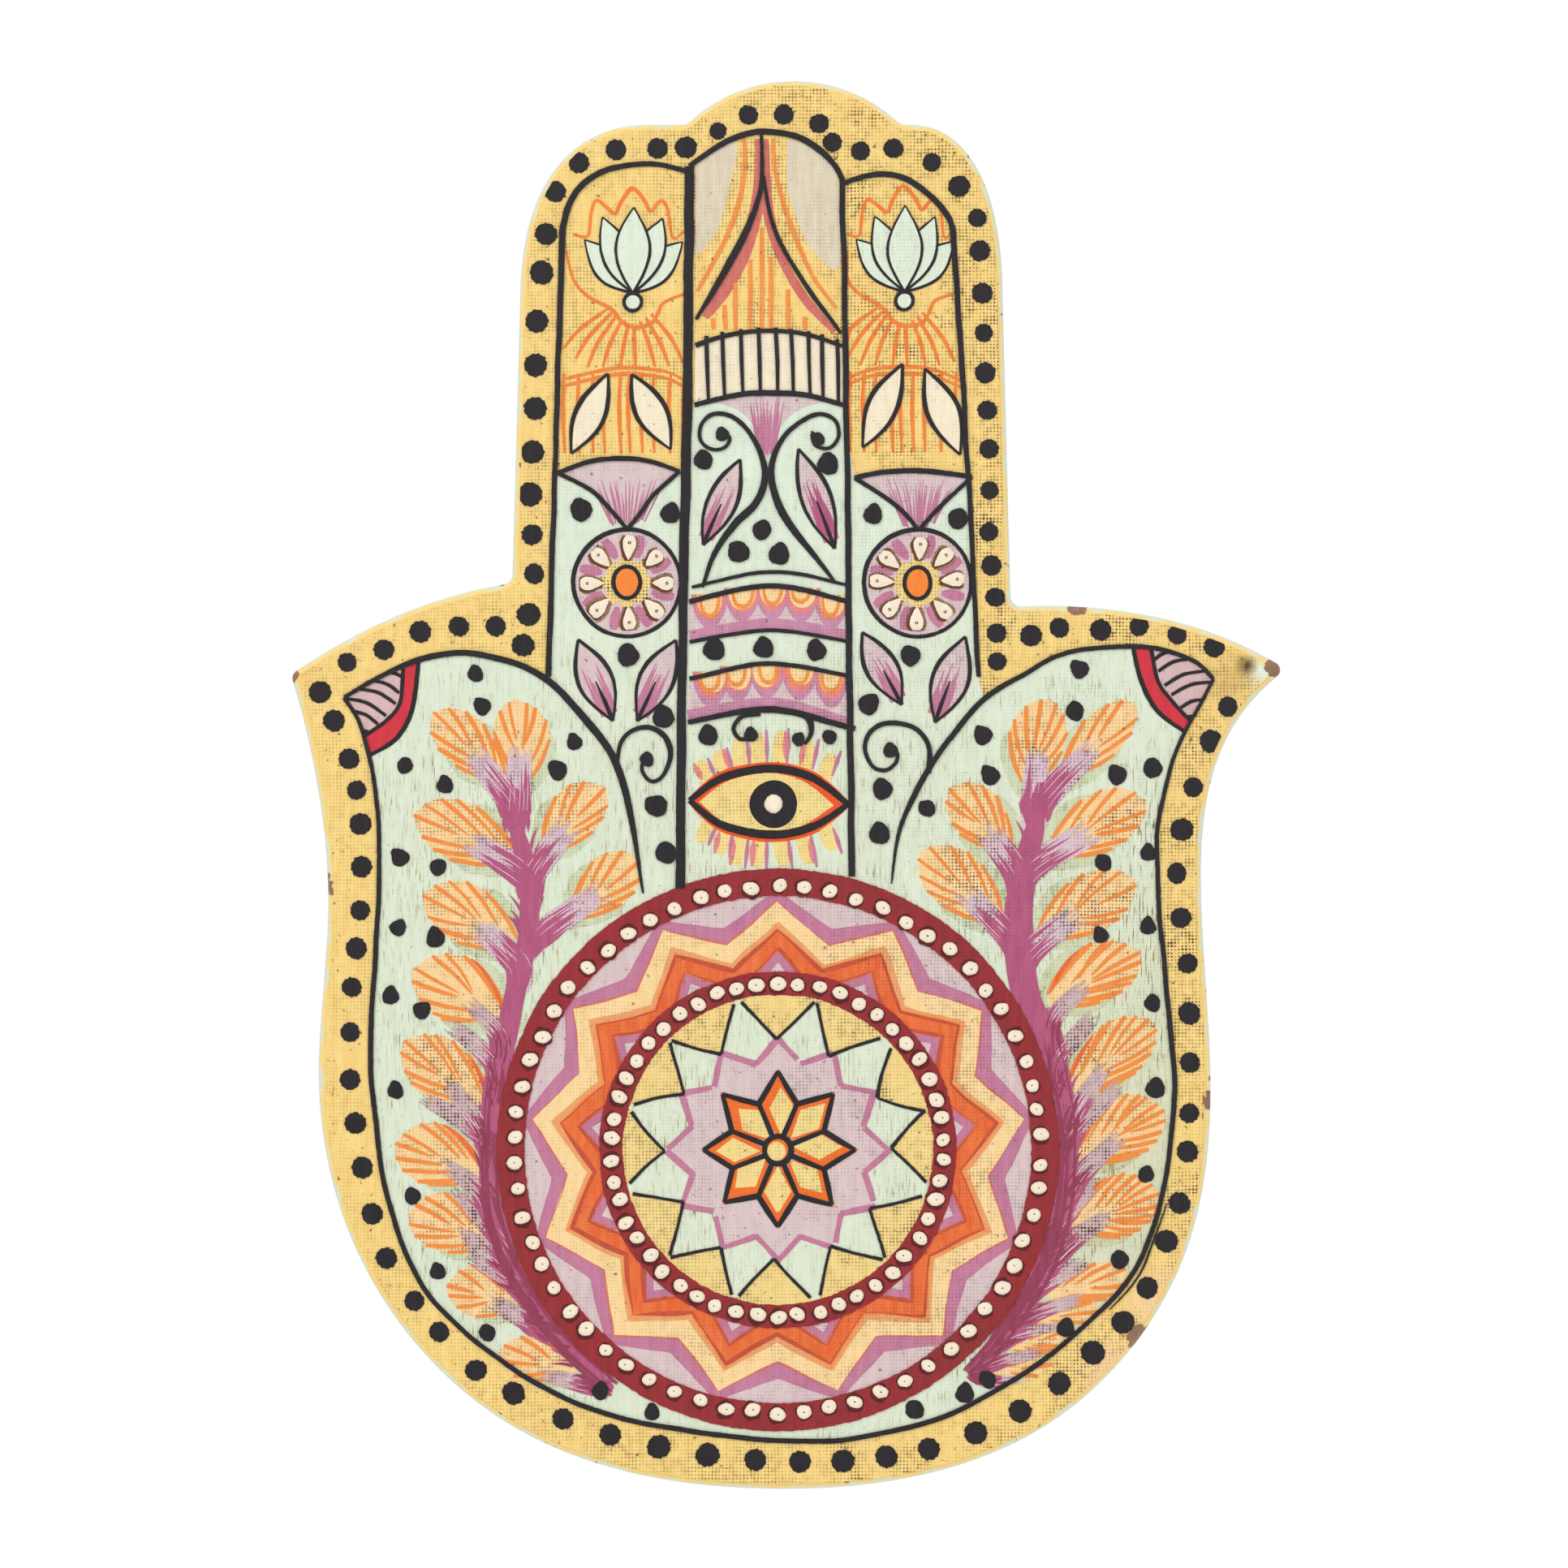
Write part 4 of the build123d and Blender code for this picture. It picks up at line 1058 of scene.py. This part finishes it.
rng = random.Random(41)
lobe_halo_film, lobe_film, ray_film, ember_film = (bmesh.new() for i in range(4))
tongue_film, low_tongue_film, stem_film, deep_film, hair_film = (bmesh.new() for i in range(5))
for stem_points, stem_widths, lobes, sweeps, outward in (
        (left_stem, LEFT_STEM_WIDTHS, left_lobes, left_sweeps, 1),
        (right_stem, RIGHT_STEM_WIDTHS, right_lobes, right_sweeps, -1)):
    stem = through(stem_points, 1.5)
    draw(stem_film, [(stem, stem_widths)], 8, crown=0.01)
    draw(stem_film, fur(stem, 0.42, 0.97, outward, 6.5, 34, rng), 9, crown=0.04, sides=0)
    draw(deep_film, fur(stem, 0.45, 0.97, outward, 5.5, 22, rng), 10, crown=0.04, sides=0)
    draw(stem_film, fur(stem, 0.04, 0.42, outward, 5, 30, rng) + fur(stem, 0.04, 0.3, -outward, 5, 24, rng),
         9, crown=0.04, sides=0)
    tongues = []
    for order, (base, tip, width) in enumerate(lobes):
        base, tip = Vector(base), Vector(tip)
        step = LAP * (order % 3)
        upper, lower = lobe_edges(base, tip, width)
        lay(lobe_film, [upper + lower[-2:0:-1]], 2 + step)
        # a darker olive mint round each lobe, reaching further towards the stem
        upper_halo, lower_halo = lobe_edges(base.lerp(tip, -0.2), base.lerp(tip, 0.8), width + 2)
        lay(lobe_halo_film, [upper_halo + lower_halo[-2:0:-1]], 1.1 + 0.06 * order)
        pitch = LOW_RIGHT_PITCH if base.y < LOW_LOBES_FROM and outward < 0 else RAY_PITCH
        draw(ray_film, lobe_rays(base, tip, width, pitch, rng), 3.5 + step, crown=0.03, sides=0)
        head = base.lerp(tip, rng.uniform(0.42, 0.5))
        if base.y < LOW_LOBES_FROM:
            draw(ember_film, [(upper[1:rng.randint(6, 9)], EMBER_WIDTHS)], 4 + step, crown=0.03, sides=0)
            down = (lower[7] - upper[7]).normalized()
            base = base + down * 2.8
            head += down * (0.3 if width > 9 else 2.2)
        tongues.append((base, head, SWEEP_HALF * min(1, width / 10)))
    tongues += [(Vector(root), Vector(head), SWEEP_HALF) for root, head in sweeps]
    for order, (base, head, half) in enumerate(tongues):
        low = base.y < LOW_LOBES_FROM
        lilac_sweeps = low_tongue_film if low else tongue_film
        half *= LOW_SWEEP_SHARE if low else 1
        step = LAP * (order % 3)
        nearest = min(range(len(stem)), key=lambda j: (stem[j] - base).length)
        root = min(nearest + 4, len(stem) - 3)
        line = through([stem[root + 2], stem[root].lerp(base, 0.8 if low else 0.4), head], 1.2)
        draw(lilac_sweeps, [(line[:len(line) * 17 // 20],
                             [half * w for w in (0.4, 1.8, 1.9, 1.9, 1.7, 0.7)])], 5.5 + step, crown=0.01)
        draw(lilac_sweeps, bundle(line, half, 13, 0.78, 1.0, [0.3, 0.9, 0.8, 0.2], rng), 7, crown=0.02,
             sides=0)
        draw(stem_film, [(line[:len(line) // 2], [half * w for w in (1.2, 1.8, 1.5, 0.3)])],
             7.2 + 0.2 * step, crown=0.01)
        spread, longest = (1.3, 0.66) if low else (1.0, 0.78)
        draw(stem_film, bundle(line, half * spread, 18, 0.35, longest, [0.2, 1.2, 1.0, 0.6, 0.08], rng,
                               late=4), 7.6, crown=0.03, sides=0)
        draw(hair_film, bundle(line[4:], half, 5, 0.3, 0.8, [0.06, 0.2, 0.06], rng, late=3), 9, crown=0.1,
             sides=0)
        if low:
            draw(deep_film, bundle(line, half, 9, 0.3, 0.6, [0.1, 0.7, 0.5, 0.08], rng, late=5), 9,
                 crown=0.05, sides=0)
    low_part = stem[len(stem) * 2 // 5:]
    for k in range(6):
        strand = beside(low_part[rng.randrange(14):], rng.uniform(-2, 2))
        draw(deep_film, [(strand, [0.1, 0.5, 0.8, 0.9, 0.3])], 10 + 0.2 * k, crown=0.03)
painted("spray_lobe_halos", lobe_halo_film, [olive_mint], ragged=0.5)
painted("spray_lobes", lobe_film, [lobe_peach], ragged=0.3)
painted("spray_rays", ray_film, [ray_orange])
painted("spray_ray_roots", ember_film, [orange_red])
painted("spray_tongues", tongue_film, [tongue_lilac])
painted("spray_low_tongues", low_tongue_film, [low_lilac])
painted("spray_stems", stem_film, [plum])
painted("spray_deep_streaks", deep_film, [deep_plum])
painted("spray_pale_hairs", hair_film, [pale_hair])


# Thumb corners
# In each thumb's tip a pink wedge with curved black stripes, closed by a red band between black lines.
WEDGE_STRIPES = 6
STRIPE_BOW = 0.1  # rise of a stripe's middle, as a share of its length
CORNERS = [((-89.4, -91.7), (-83.4, -87.9), [(-77, -85.4), (-77.5, -92.2), (-80.3, -96.3), (-85.1, -99.6)],
            [(-73.8, -84), (-74.9, -93.4), (-78.2, -100.1), (-84.3, -103.8)]),
           ((95.6, -87.7), (91, -83.5), [(82.2, -81.0), (83.5, -87.7), (86.3, -91.8), (90.5, -96.4)],
            [(78.5, -81.0), (80, -87.7), (83.4, -94.1), (89.3, -98.8)])]
# A dusty pink and the one pure red of the plaque.
corner_pink = paint("wedge pink paint on cotton", "D6B6B5", "CBA9A9", grime=0.4)
red = paint("red paint on cotton", "D23743", "C3303D", grime=0.1)

wedge_film, red_film, line_film = bmesh.new(), bmesh.new(), bmesh.new()
for tip, crest, inner, outer in CORNERS:
    inner_line, outer_line = through(inner), through(outer)
    top_edge = through([inner[0], crest, tip])
    lay(wedge_film, [top_edge + inner_line[:0:-1]], 2)
    lay(red_film, [inner_line + outer_line[::-1]], 3)
    draw(line_film, [(inner_line, [0.9, 0.9]), (outer_line, [1.0, 1.2, 0.9])], 8)
    far_edge = top_edge + through([tip, inner[-1]])[1:]
    for i in range(WEDGE_STRIPES):
        along = (i + 1) / (WEDGE_STRIPES + 0.5)
        start = far_edge[round(along * (len(far_edge) - 1))]
        end = inner_line[round(along * (len(inner_line) - 1))]
        bow = start.lerp(end, 0.5) + Vector((0, STRIPE_BOW * (end - start).length))
        draw(line_film, [(through([start, bow, end.lerp(start, 0.08)]), [0.7, 0.9, 0.8])], 8)
painted("thumb_wedges", wedge_film, [corner_pink])
painted("thumb_red_bands", red_film, [red])
painted("thumb_lines", line_film, [black])


# Black lines
# Drawn last with a loaded brush: the border line, the palm's arches, the partings of the fingers,
# the comb, the band lines and the scrolls. They swell and thin as the brush was pressed.
COMB_TEETH = (-12.4, -9, -5, -1.2, 2.4, 5.6, 9.2, 12.1, 15.4)
COMB_MIDDLE = 0.7
COMB_ARCH = 0.012
BAND_LINE_WIDTHS = [[0.8, 1.0, 0.8], [1.2, 1.35, 1.2], [1.0, 1.0, 0.8], [1.1, 1.2, 1.0], [1.2, 1.7, 1.3]]
left_top = [(-43, 8), (-41.7, 13), (-39, 17.3), (-34, 20.5), (-28, 21.8), (-22.8, 21.9), (-16.8, 20.5)]
middle_top = [(-16, 21.5), (-9, 26.2), (-3.8, 28.4), (0.5, 29), (6.6, 28), (11.7, 25), (15, 21.6),
              (16.7, 18.2)]
right_top = [(17, 18), (21.2, 19.4), (25.5, 19.8), (30.7, 18.5), (35.9, 14.7), (39.2, 10.4), (40.2, 7)]
film = bmesh.new()
draw(film, [(through(left_top), [1.5, 1.5, 1.3, 1.2]), (through(middle_top), [1.2, 1.5, 1.5, 1.6, 1.3]),
            (through(right_top), [1.2, 1.5, 1.5]), (through(left_finger_side), [1.6, 1.3, 1.5]),
            (through(right_finger_side), [1.5, 1.3, 1.2]), (through(left_parting), [2.3, 2.5, 2.2, 2.4]),
            (through(right_parting), [1.4, 1.4, 1.6, 1.7]),
            (through(palm_edge), [1.0, 1.3, 1.2, 1.3, 1.2, 1.3, 0.9]),
            (through(left_arch + left_arch_end), [1.0, 1.5, 1.5, 1.9, 1.7, 0.5]),
            (through(right_arch + right_arch_end), [1.0, 1.2, 1.2, 1.4, 1.4, 0.4])], 20, crown=0.08)
draw(film, [(through(tent_left), [0.8, 1.0, 1.2, 1.7, 1.8, 1.4, 0.8]),
            (through(tent_right), [0.8, 1.0, 1.1, 1.2, 0.9]), (through(comb_top), [1.2, 1.0]),
            (through(comb_foot), [1.2, 1.4, 1.2]), (through(left_fan_top), [1.1, 1.3, 1.0]),
            (through(right_fan_top), [1.2, 1.3, 1.3])], 20)
draw(film, [(through(side), [1.0, 1.1, 1.0]) for side in left_fan + right_fan], 20)
for x in COMB_TEETH:
    drop = COMB_ARCH * (x - COMB_MIDDLE) ** 2
    draw(film, [([(x, -12.6 - drop), (x + 0.2, -20), (x + 0.4, -26 - drop)], [1.0, 1.0, 0.8])], 20)
draw(film, [(through(line), widths) for line, widths in zip(band_lines, BAND_LINE_WIDTHS)], 20)
scrolls = [([(-9.1, -35), (-7.4, -36.2), (-8.5, -38.3), (-11.2, -38.7), (-13.5, -36.8), (-13.5, -33.5),
             (-11, -31.2), (-7.2, -31.6), (-3.5, -34.7), (-0.7, -39.7), (0, -44.9), (-2.1, -50.4),
             (-6.2, -54.4), (-10.7, -60.8), (-13.3, -68)], [0.9, 0.9, 1.1, 1.2, 1.6, 2.0, 1.4, 0.8]),
           ([(11.4, -36.4), (10, -35), (10.5, -37.6), (13.5, -38.5), (15.7, -36.2), (15.2, -32.8),
             (12.1, -31.2), (8.3, -32.3), (4.5, -35.4), (1.9, -40.6), (1.4, -45.2), (2.8, -50.4),
             (5.7, -55.2), (10.5, -61.3), (15, -67)], [0.9, 0.9, 1.1, 1.2, 1.6, 1.9, 1.5, 0.8]),
           ([(-31.4, -105.3), (-30.6, -101), (-28, -98.4), (-24.5, -97.7), (-21.4, -99.3), (-20, -102.7),
             (-20.7, -106.2), (-22.4, -108.7), (-24.5, -109.1), (-26.1, -107), (-25.9, -104.9)],
            [1.0, 1.1, 1.4, 1.0, 0.9]),
           ([(34.7, -107.5), (34.9, -102), (32.5, -98.4), (28.7, -97), (24.7, -97.2), (22.1, -99.3),
             (21.4, -102.7), (23, -106.2), (25.9, -107), (28, -105.3), (28.3, -103.2)],
            [1.4, 1.2, 1.2, 1.0, 0.9]),
           ([(-1, -95), (-5, -95.6), (-6.6, -98.2), (-5.2, -100.3), (-3.4, -100)], [1.0, 1.1, 1.0]),
           ([(5.2, -94.6), (9.2, -95.8), (10, -99), (8.6, -101.4)], [1.2, 1.6, 0.8])]
draw(film, [(through(line), widths) for line, widths in scrolls], 20)
second_pass = [(85.5, -199), (80.1, -213.2), (73.4, -221.5)]
draw(film, [(through(second_pass), [0.3, 0.6, 0.3])], 20)
painted("black_lines", film, [black])


# Black dots
# Round ragged dots dabbed along the gold border in runs, and drop-shaped ones strewn over the mint. A run
# gives every dot, or every second one with the others halfway between, and the width of its dots.
EVERY_DOT = False
EVERY_SECOND = True
border_runs = [
    ([(-51.4, -80.4), (-49.1, -65), (-49.9, -48.1), (-48.8, -29.9), (-48.5, -11.4), (-46.4, 7.1)],
     EVERY_SECOND, 4.5),
    ([(-44.5, 16.1), (-39.5, 22.2), (-31.6, 25), (-22.8, 25.4), (-16.7, 25.6)], EVERY_DOT, 4.2),
    ([(-10, 29), (-3.4, 32.5), (4.1, 32.6), (11.5, 30.7), (14.4, 26.7)], EVERY_DOT, 3.9),
    ([(20.4, 24.9), (27.3, 25.4), (35.4, 22.5), (41.4, 17.3)], EVERY_DOT, 4.1),
    ([(45.2, 10.5), (46.3, -5.5), (46.8, -22.4), (47.8, -38.5), (47.6, -56.2), (49, -70), (49.5, -83.7)],
     EVERY_SECOND, 4.0),
    ([(56.6, -78.2), (62.6, -76.5), (71.4, -77), (79.7, -76.3), (87.7, -78.1), (95.6, -80.6)],
     EVERY_DOT, 4.2),
    ([(98.5, -93.4), (91, -110.4), (87.6, -128.8), (89.9, -148), (90.4, -169), (90, -188)],
     EVERY_SECOND, 4.35),
    ([(88.2, -198.9), (81.3, -217), (69.9, -230.8), (54.3, -243.2), (35, -251.1), (16.6, -253.8),
      (-2, -253.5), (-22.5, -250.8), (-42.9, -244.8), (-61.3, -234.5)], EVERY_SECOND, 4.6),
    ([(-69.3, -226.4), (-80.4, -210.6), (-85.6, -191.4), (-88.1, -172.6), (-87.8, -152.9), (-86, -136.7),
      (-86, -118.3), (-88.4, -104.3), (-94.6, -90.2)], EVERY_SECOND, 4.2),
    ([(-88.8, -83.9), (-80.9, -81.2), (-73.3, -77.5), (-65.1, -76.3), (-57.1, -76.3)], EVERY_DOT, 4.2)]
field_dots = [(-61.5, -86.5), (-60, -93.5), (-40.5, -101), (-44, -107), (-76.5, -106), (-68, -110),
              (-77.5, -125.5), (-69.5, -127.5), (-78, -140.5), (-70, -142.5), (-79.5, -155), (-73, -158),
              (-78.5, -175), (-75, -197.5), (-69.5, -213.5), (-59, -226.5), (-35, -239), (-24, -243.5),
              (67, -85.5), (66, -94.5), (46.5, -99.5), (48, -108), (34.5, -115), (82.5, -106.5), (75, -108),
              (81.5, -124.5), (72, -126.5), (81.5, -140), (71.5, -142), (82.5, -156.5), (83, -174.5),
              (81, -193), (75.5, -211), (64, -225.6), (47.5, -236.5), (42.5, -239.5), (32, -243)]
finger_dots = [(-39, -51.5), (-20, -52.3), (23, -52.5), (41, -53.5), (-29, -82.5), (-21.5, -95.5),
               (31, -82.5), (22, -93), (-23, -114.5), (-21, -124.5), (25, -111), (24.5, -120.5),
               (-0.5, -56), (-5.5, -60.5), (3, -61), (-13, -41), (13.4, -41.8), (-10.7, -81.3),
               (-0.2, -80.9), (10.9, -81.4), (-12, -99.6), (13.9, -99.8), (-9, -35.5), (11.4, -36.6),
               (-25, -104.6), (26.8, -102.8), (-3, -99.4), (7.2, -100.4)]
small_dots = finger_dots[-7:]
BLOT_STEPS = 28


def blot(centre, radius, lumps, rng, drawn_out=0.0):
    """A dab of paint with a lumpy edge, drawn out to a corner on one side."""
    phase = rng.uniform(0, math.tau)
    corner = rng.uniform(math.radians(50), math.radians(140))
    outline = []
    for i in range(BLOT_STEPS):
        a = math.tau * i / BLOT_STEPS
        towards = math.cos(a - corner)
        reach = radius * (1 + 0.05 * math.sin(lumps * a + phase) + rng.uniform(-0.04, 0.04))
        reach *= 1 + drawn_out * max(0, towards) ** 8
        outline.append((centre[0] + reach * math.cos(a), centre[1] + reach * math.sin(a)))
    return outline


def trim(film):
    """Draws the points of a film that lie past the cloth's edge back to it."""
    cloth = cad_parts["cloth_facing"]
    places = [cloth.matrix_world @ vertex.co for vertex in cloth.data.vertices]
    tree = BVHTree.FromPolygons(places, [polygon.vertices for polygon in cloth.data.polygons])
    for vertex in film.verts:
        nearest = tree.find_nearest(Vector((vertex.co.x, face_y, vertex.co.z)))[0]
        vertex.co.x, vertex.co.z = nearest.x, nearest.z


rng = random.Random(5)
film = bmesh.new()
for run, between, size in border_runs:
    path = [Vector(p) for p in run]
    if between:
        path = through(run, 100)
    for centre in path:
        lay(film, [blot(centre, size / 2 * rng.uniform(0.96, 1.13), 11, rng)], 9)
for centre in field_dots:
    lay(film, [blot(centre, rng.uniform(1.65, 2.05), 3, rng, 0.25)], 13)
for centre in finger_dots:
    size = rng.uniform(1.3, 1.6) if centre in small_dots else rng.uniform(1.95, 2.35)
    lay(film, [blot(centre, size, 3, rng, 0.2)], 22)
trim(film)
painted("black_dots", film, [black])


# Raised drops
# Thick cream paint squeezed from a nozzle on to the finished rings, flowers and eye, each drop with the
# small pit where the nozzle left it. The pits are coloured dark brown, partly grime and partly painted
# shade, and dark rims and haze round the drops' feet, set a little down and left, are partly grime and
# partly painted shadow.
BEAD_PROFILE = [(0, 0.88), (0.1, 0.90), (0.17, 0.98), (0.55, 1.0), (0.85, 0.72), (1.0, 0)]
BEAD_HEIGHT = 0.78
PIT_REACH = 0.08
RINGS = [("outer_ring_drops", 62, 55.9), ("inner_ring_drops", 50, 35.5)]
PETAL_WIDTHS = (0.6, 1.3, 2.2, 3.0, 3.4, 3.3, 1.8)
# A soft sheen on the cream, and dull browns that are partly old dirt and partly painted shade and shadow.
cream_drop = paint("cream relief paint", "F3E6D0", "EBDAC0", grime=0.0, roughness=0.5)
pit_grime_and_shade = paint("brown grime and painted shade", "6A4434", "57362A", grime=0.0, roughness=0.8)
foot_grime_and_shadow = paint("dark red grime and painted shadow", "5F2326", "4E1D22", grime=0.0, roughness=0.8)
haze_grime_and_shade = paint("thin brown haze of grime and painted shade", "A07A64", "8A6450", grime=1.0, left_share=0.9, roughness=0.8)

bead = bmesh.new()
corners = [bead.verts.new((radius, -height, 0)) for radius, height in BEAD_PROFILE]
sides = [bead.edges.new(pair) for pair in zip(corners, corners[1:])]
bmesh.ops.spin(bead, geom=corners + sides, cent=(0, 0, 0), axis=(0, 1, 0), dvec=(0, 0, 0), angle=math.tau,
               steps=12, use_merge=True, use_normal_flip=False, use_duplicate=False)
bmesh.ops.remove_doubles(bead, verts=bead.verts, dist=1e-5)
bmesh.ops.recalc_face_normals(bead, faces=bead.faces)
for face in bead.faces:
    face.smooth = True
    # the faces in the pit take the dark brown: partly grime, partly painted shade
    face.material_index = 1 if face.calc_center_median().xz.length < PIT_REACH else 0
bead_mesh = bpy.data.meshes.new("bead")
bead.to_mesh(bead_mesh)
bead.free()


def press_bead(film, centre, long, wide, turn, lean=(0, 0)):
    """Sets one drop on the face, stretched, turned and leaning as it fell."""
    first = len(film.verts)
    film.from_mesh(bead_mesh)
    film.verts.ensure_lookup_table()
    shape = Matrix.Diagonal((long / 2 * MM, BEAD_HEIGHT * MM, wide / 2 * MM, 1))
    shape[0][1], shape[2][1] = lean[0] * MM, lean[1] * MM
    spot = Matrix.Translation((centre[0] * MM, face_y, centre[1] * MM))
    bmesh.ops.transform(film, matrix=spot @ Matrix.Rotation(turn, 4, "Y") @ shape, verts=film.verts[first:])


rng = random.Random(8)
halo_film = bmesh.new()
for node, count, radius in RINGS:
    film = bmesh.new()
    for i in range(count):
        turn = 90 + 360 * i / count + rng.uniform(-0.5, 0.5)
        centre = spoke(turn, radius + rng.uniform(-0.35, 0.35))
        long = rng.uniform(3.2, 4.1)
        wide = rng.uniform(2.8, 3.3)
        turned = rng.uniform(-0.7, 0.7)
        lean = (rng.uniform(-0.35, 0.35), rng.uniform(-0.35, 0.35))
        press_bead(film, centre, long, wide, turned, lean)
        # A dark red rim a little larger than the drop and set down and left of it: partly grime, partly
        # painted shadow.
        lay(halo_film, [blot((centre.x - 0.1, centre.y - 0.15), long / 2 + 0.12, 5, rng)], 18)
    beads = painted(node + "_beads", film, [cream_drop, pit_grime_and_shade], ragged=0.2, slot="cream_paint")
    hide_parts(node)
painted("ring_drop_grime_and_shadow", halo_film, [foot_grime_and_shadow])

petal_grime_and_shadow, petal_haze_and_shade = bmesh.new(), bmesh.new()
for node, (x, z) in zip(("left_flower_drops", "right_flower_drops"), flower_centres):
    film = bmesh.new()
    pits = bmesh.new()
    for i in range(DISC_PETALS):
        turn = math.radians(90 + 360 / DISC_PETALS * i + rng.uniform(-5, 5))
        aim = Vector((math.cos(turn), math.sin(turn)))
        inner = Vector((x, z)) + aim * rng.uniform(4.7, 5.3)
        outer = Vector((x, z)) + aim * rng.uniform(9.7, 10.4)
        petal = [inner.lerp(outer, t / 8) for t in range(9)]
        draw(film, [(petal, PETAL_WIDTHS)], 0, crown=0.44)
        # Under each petal a wide soft brown haze and a tighter dark rim, both set down and left of it:
        # partly grime, partly painted shade and shadow.
        haze = rng.uniform(1.2, 2.4)
        for dirt, shift, wider, layer in ((petal_haze_and_shade, (-0.1, -0.1), haze, 5),
                                          (petal_grime_and_shadow, (-0.25, -0.2), 0.8, 6)):
            widths = [width + wider for width in PETAL_WIDTHS]
            draw(dirt, [([point + Vector(shift) for point in petal], widths)], layer, crown=0.02)
        # A dark spot near each petal's outer end stands for its pit: partly grime, partly painted shade.
        lay(pits, [blot(inner.lerp(outer, 0.7), 0.34, 3, rng)], 36)
    petals = painted(node + "_petals", film, [cream_drop], ragged=0.12, slot="cream_paint")
    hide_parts(node)
    painted(node + "_pits", pits, [pit_grime_and_shade], slot="cream_paint")
painted("petal_haze_and_shade", petal_haze_and_shade, [haze_grime_and_shade], ragged=0.35)
painted("petal_grime_and_shadow", petal_grime_and_shadow, [pit_grime_and_shade])

film = bmesh.new()
press_bead(film, pupil_centre, 4.2, 4.4, 0.3)
pupil = painted("eye_pupil", film, [cream_drop, cream_drop], ragged=0.15, slot="cream_paint")
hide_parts("eye_drop")


# Hanger
# Bought hardware on the back: a folded strap and a wire ring of zinc-plated steel, held by two wood
# screws. The ring hangs in the strap's knuckle and swings flat when the plaque is packed.

# Dull grey plating with a faint cloudy spangle in its colour and its roughness.
zinc, nodes, shader, place = finish("zinc plated steel")
spangle = clouds(nodes, place, 2.5, 5)
give(shader, {"Base Color": mix(nodes, spangle, "A9AAA8", "CFCFCB"), "Metallic": 1.0,
              "Roughness": ramp(nodes, spangle, 0, 1, 0.28, 0.48)})
for node in ("hanger_strap", "hanger_ring", "hanger_screw_upper", "hanger_screw_lower"):
    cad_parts[node].material_slots[0].material = zinc
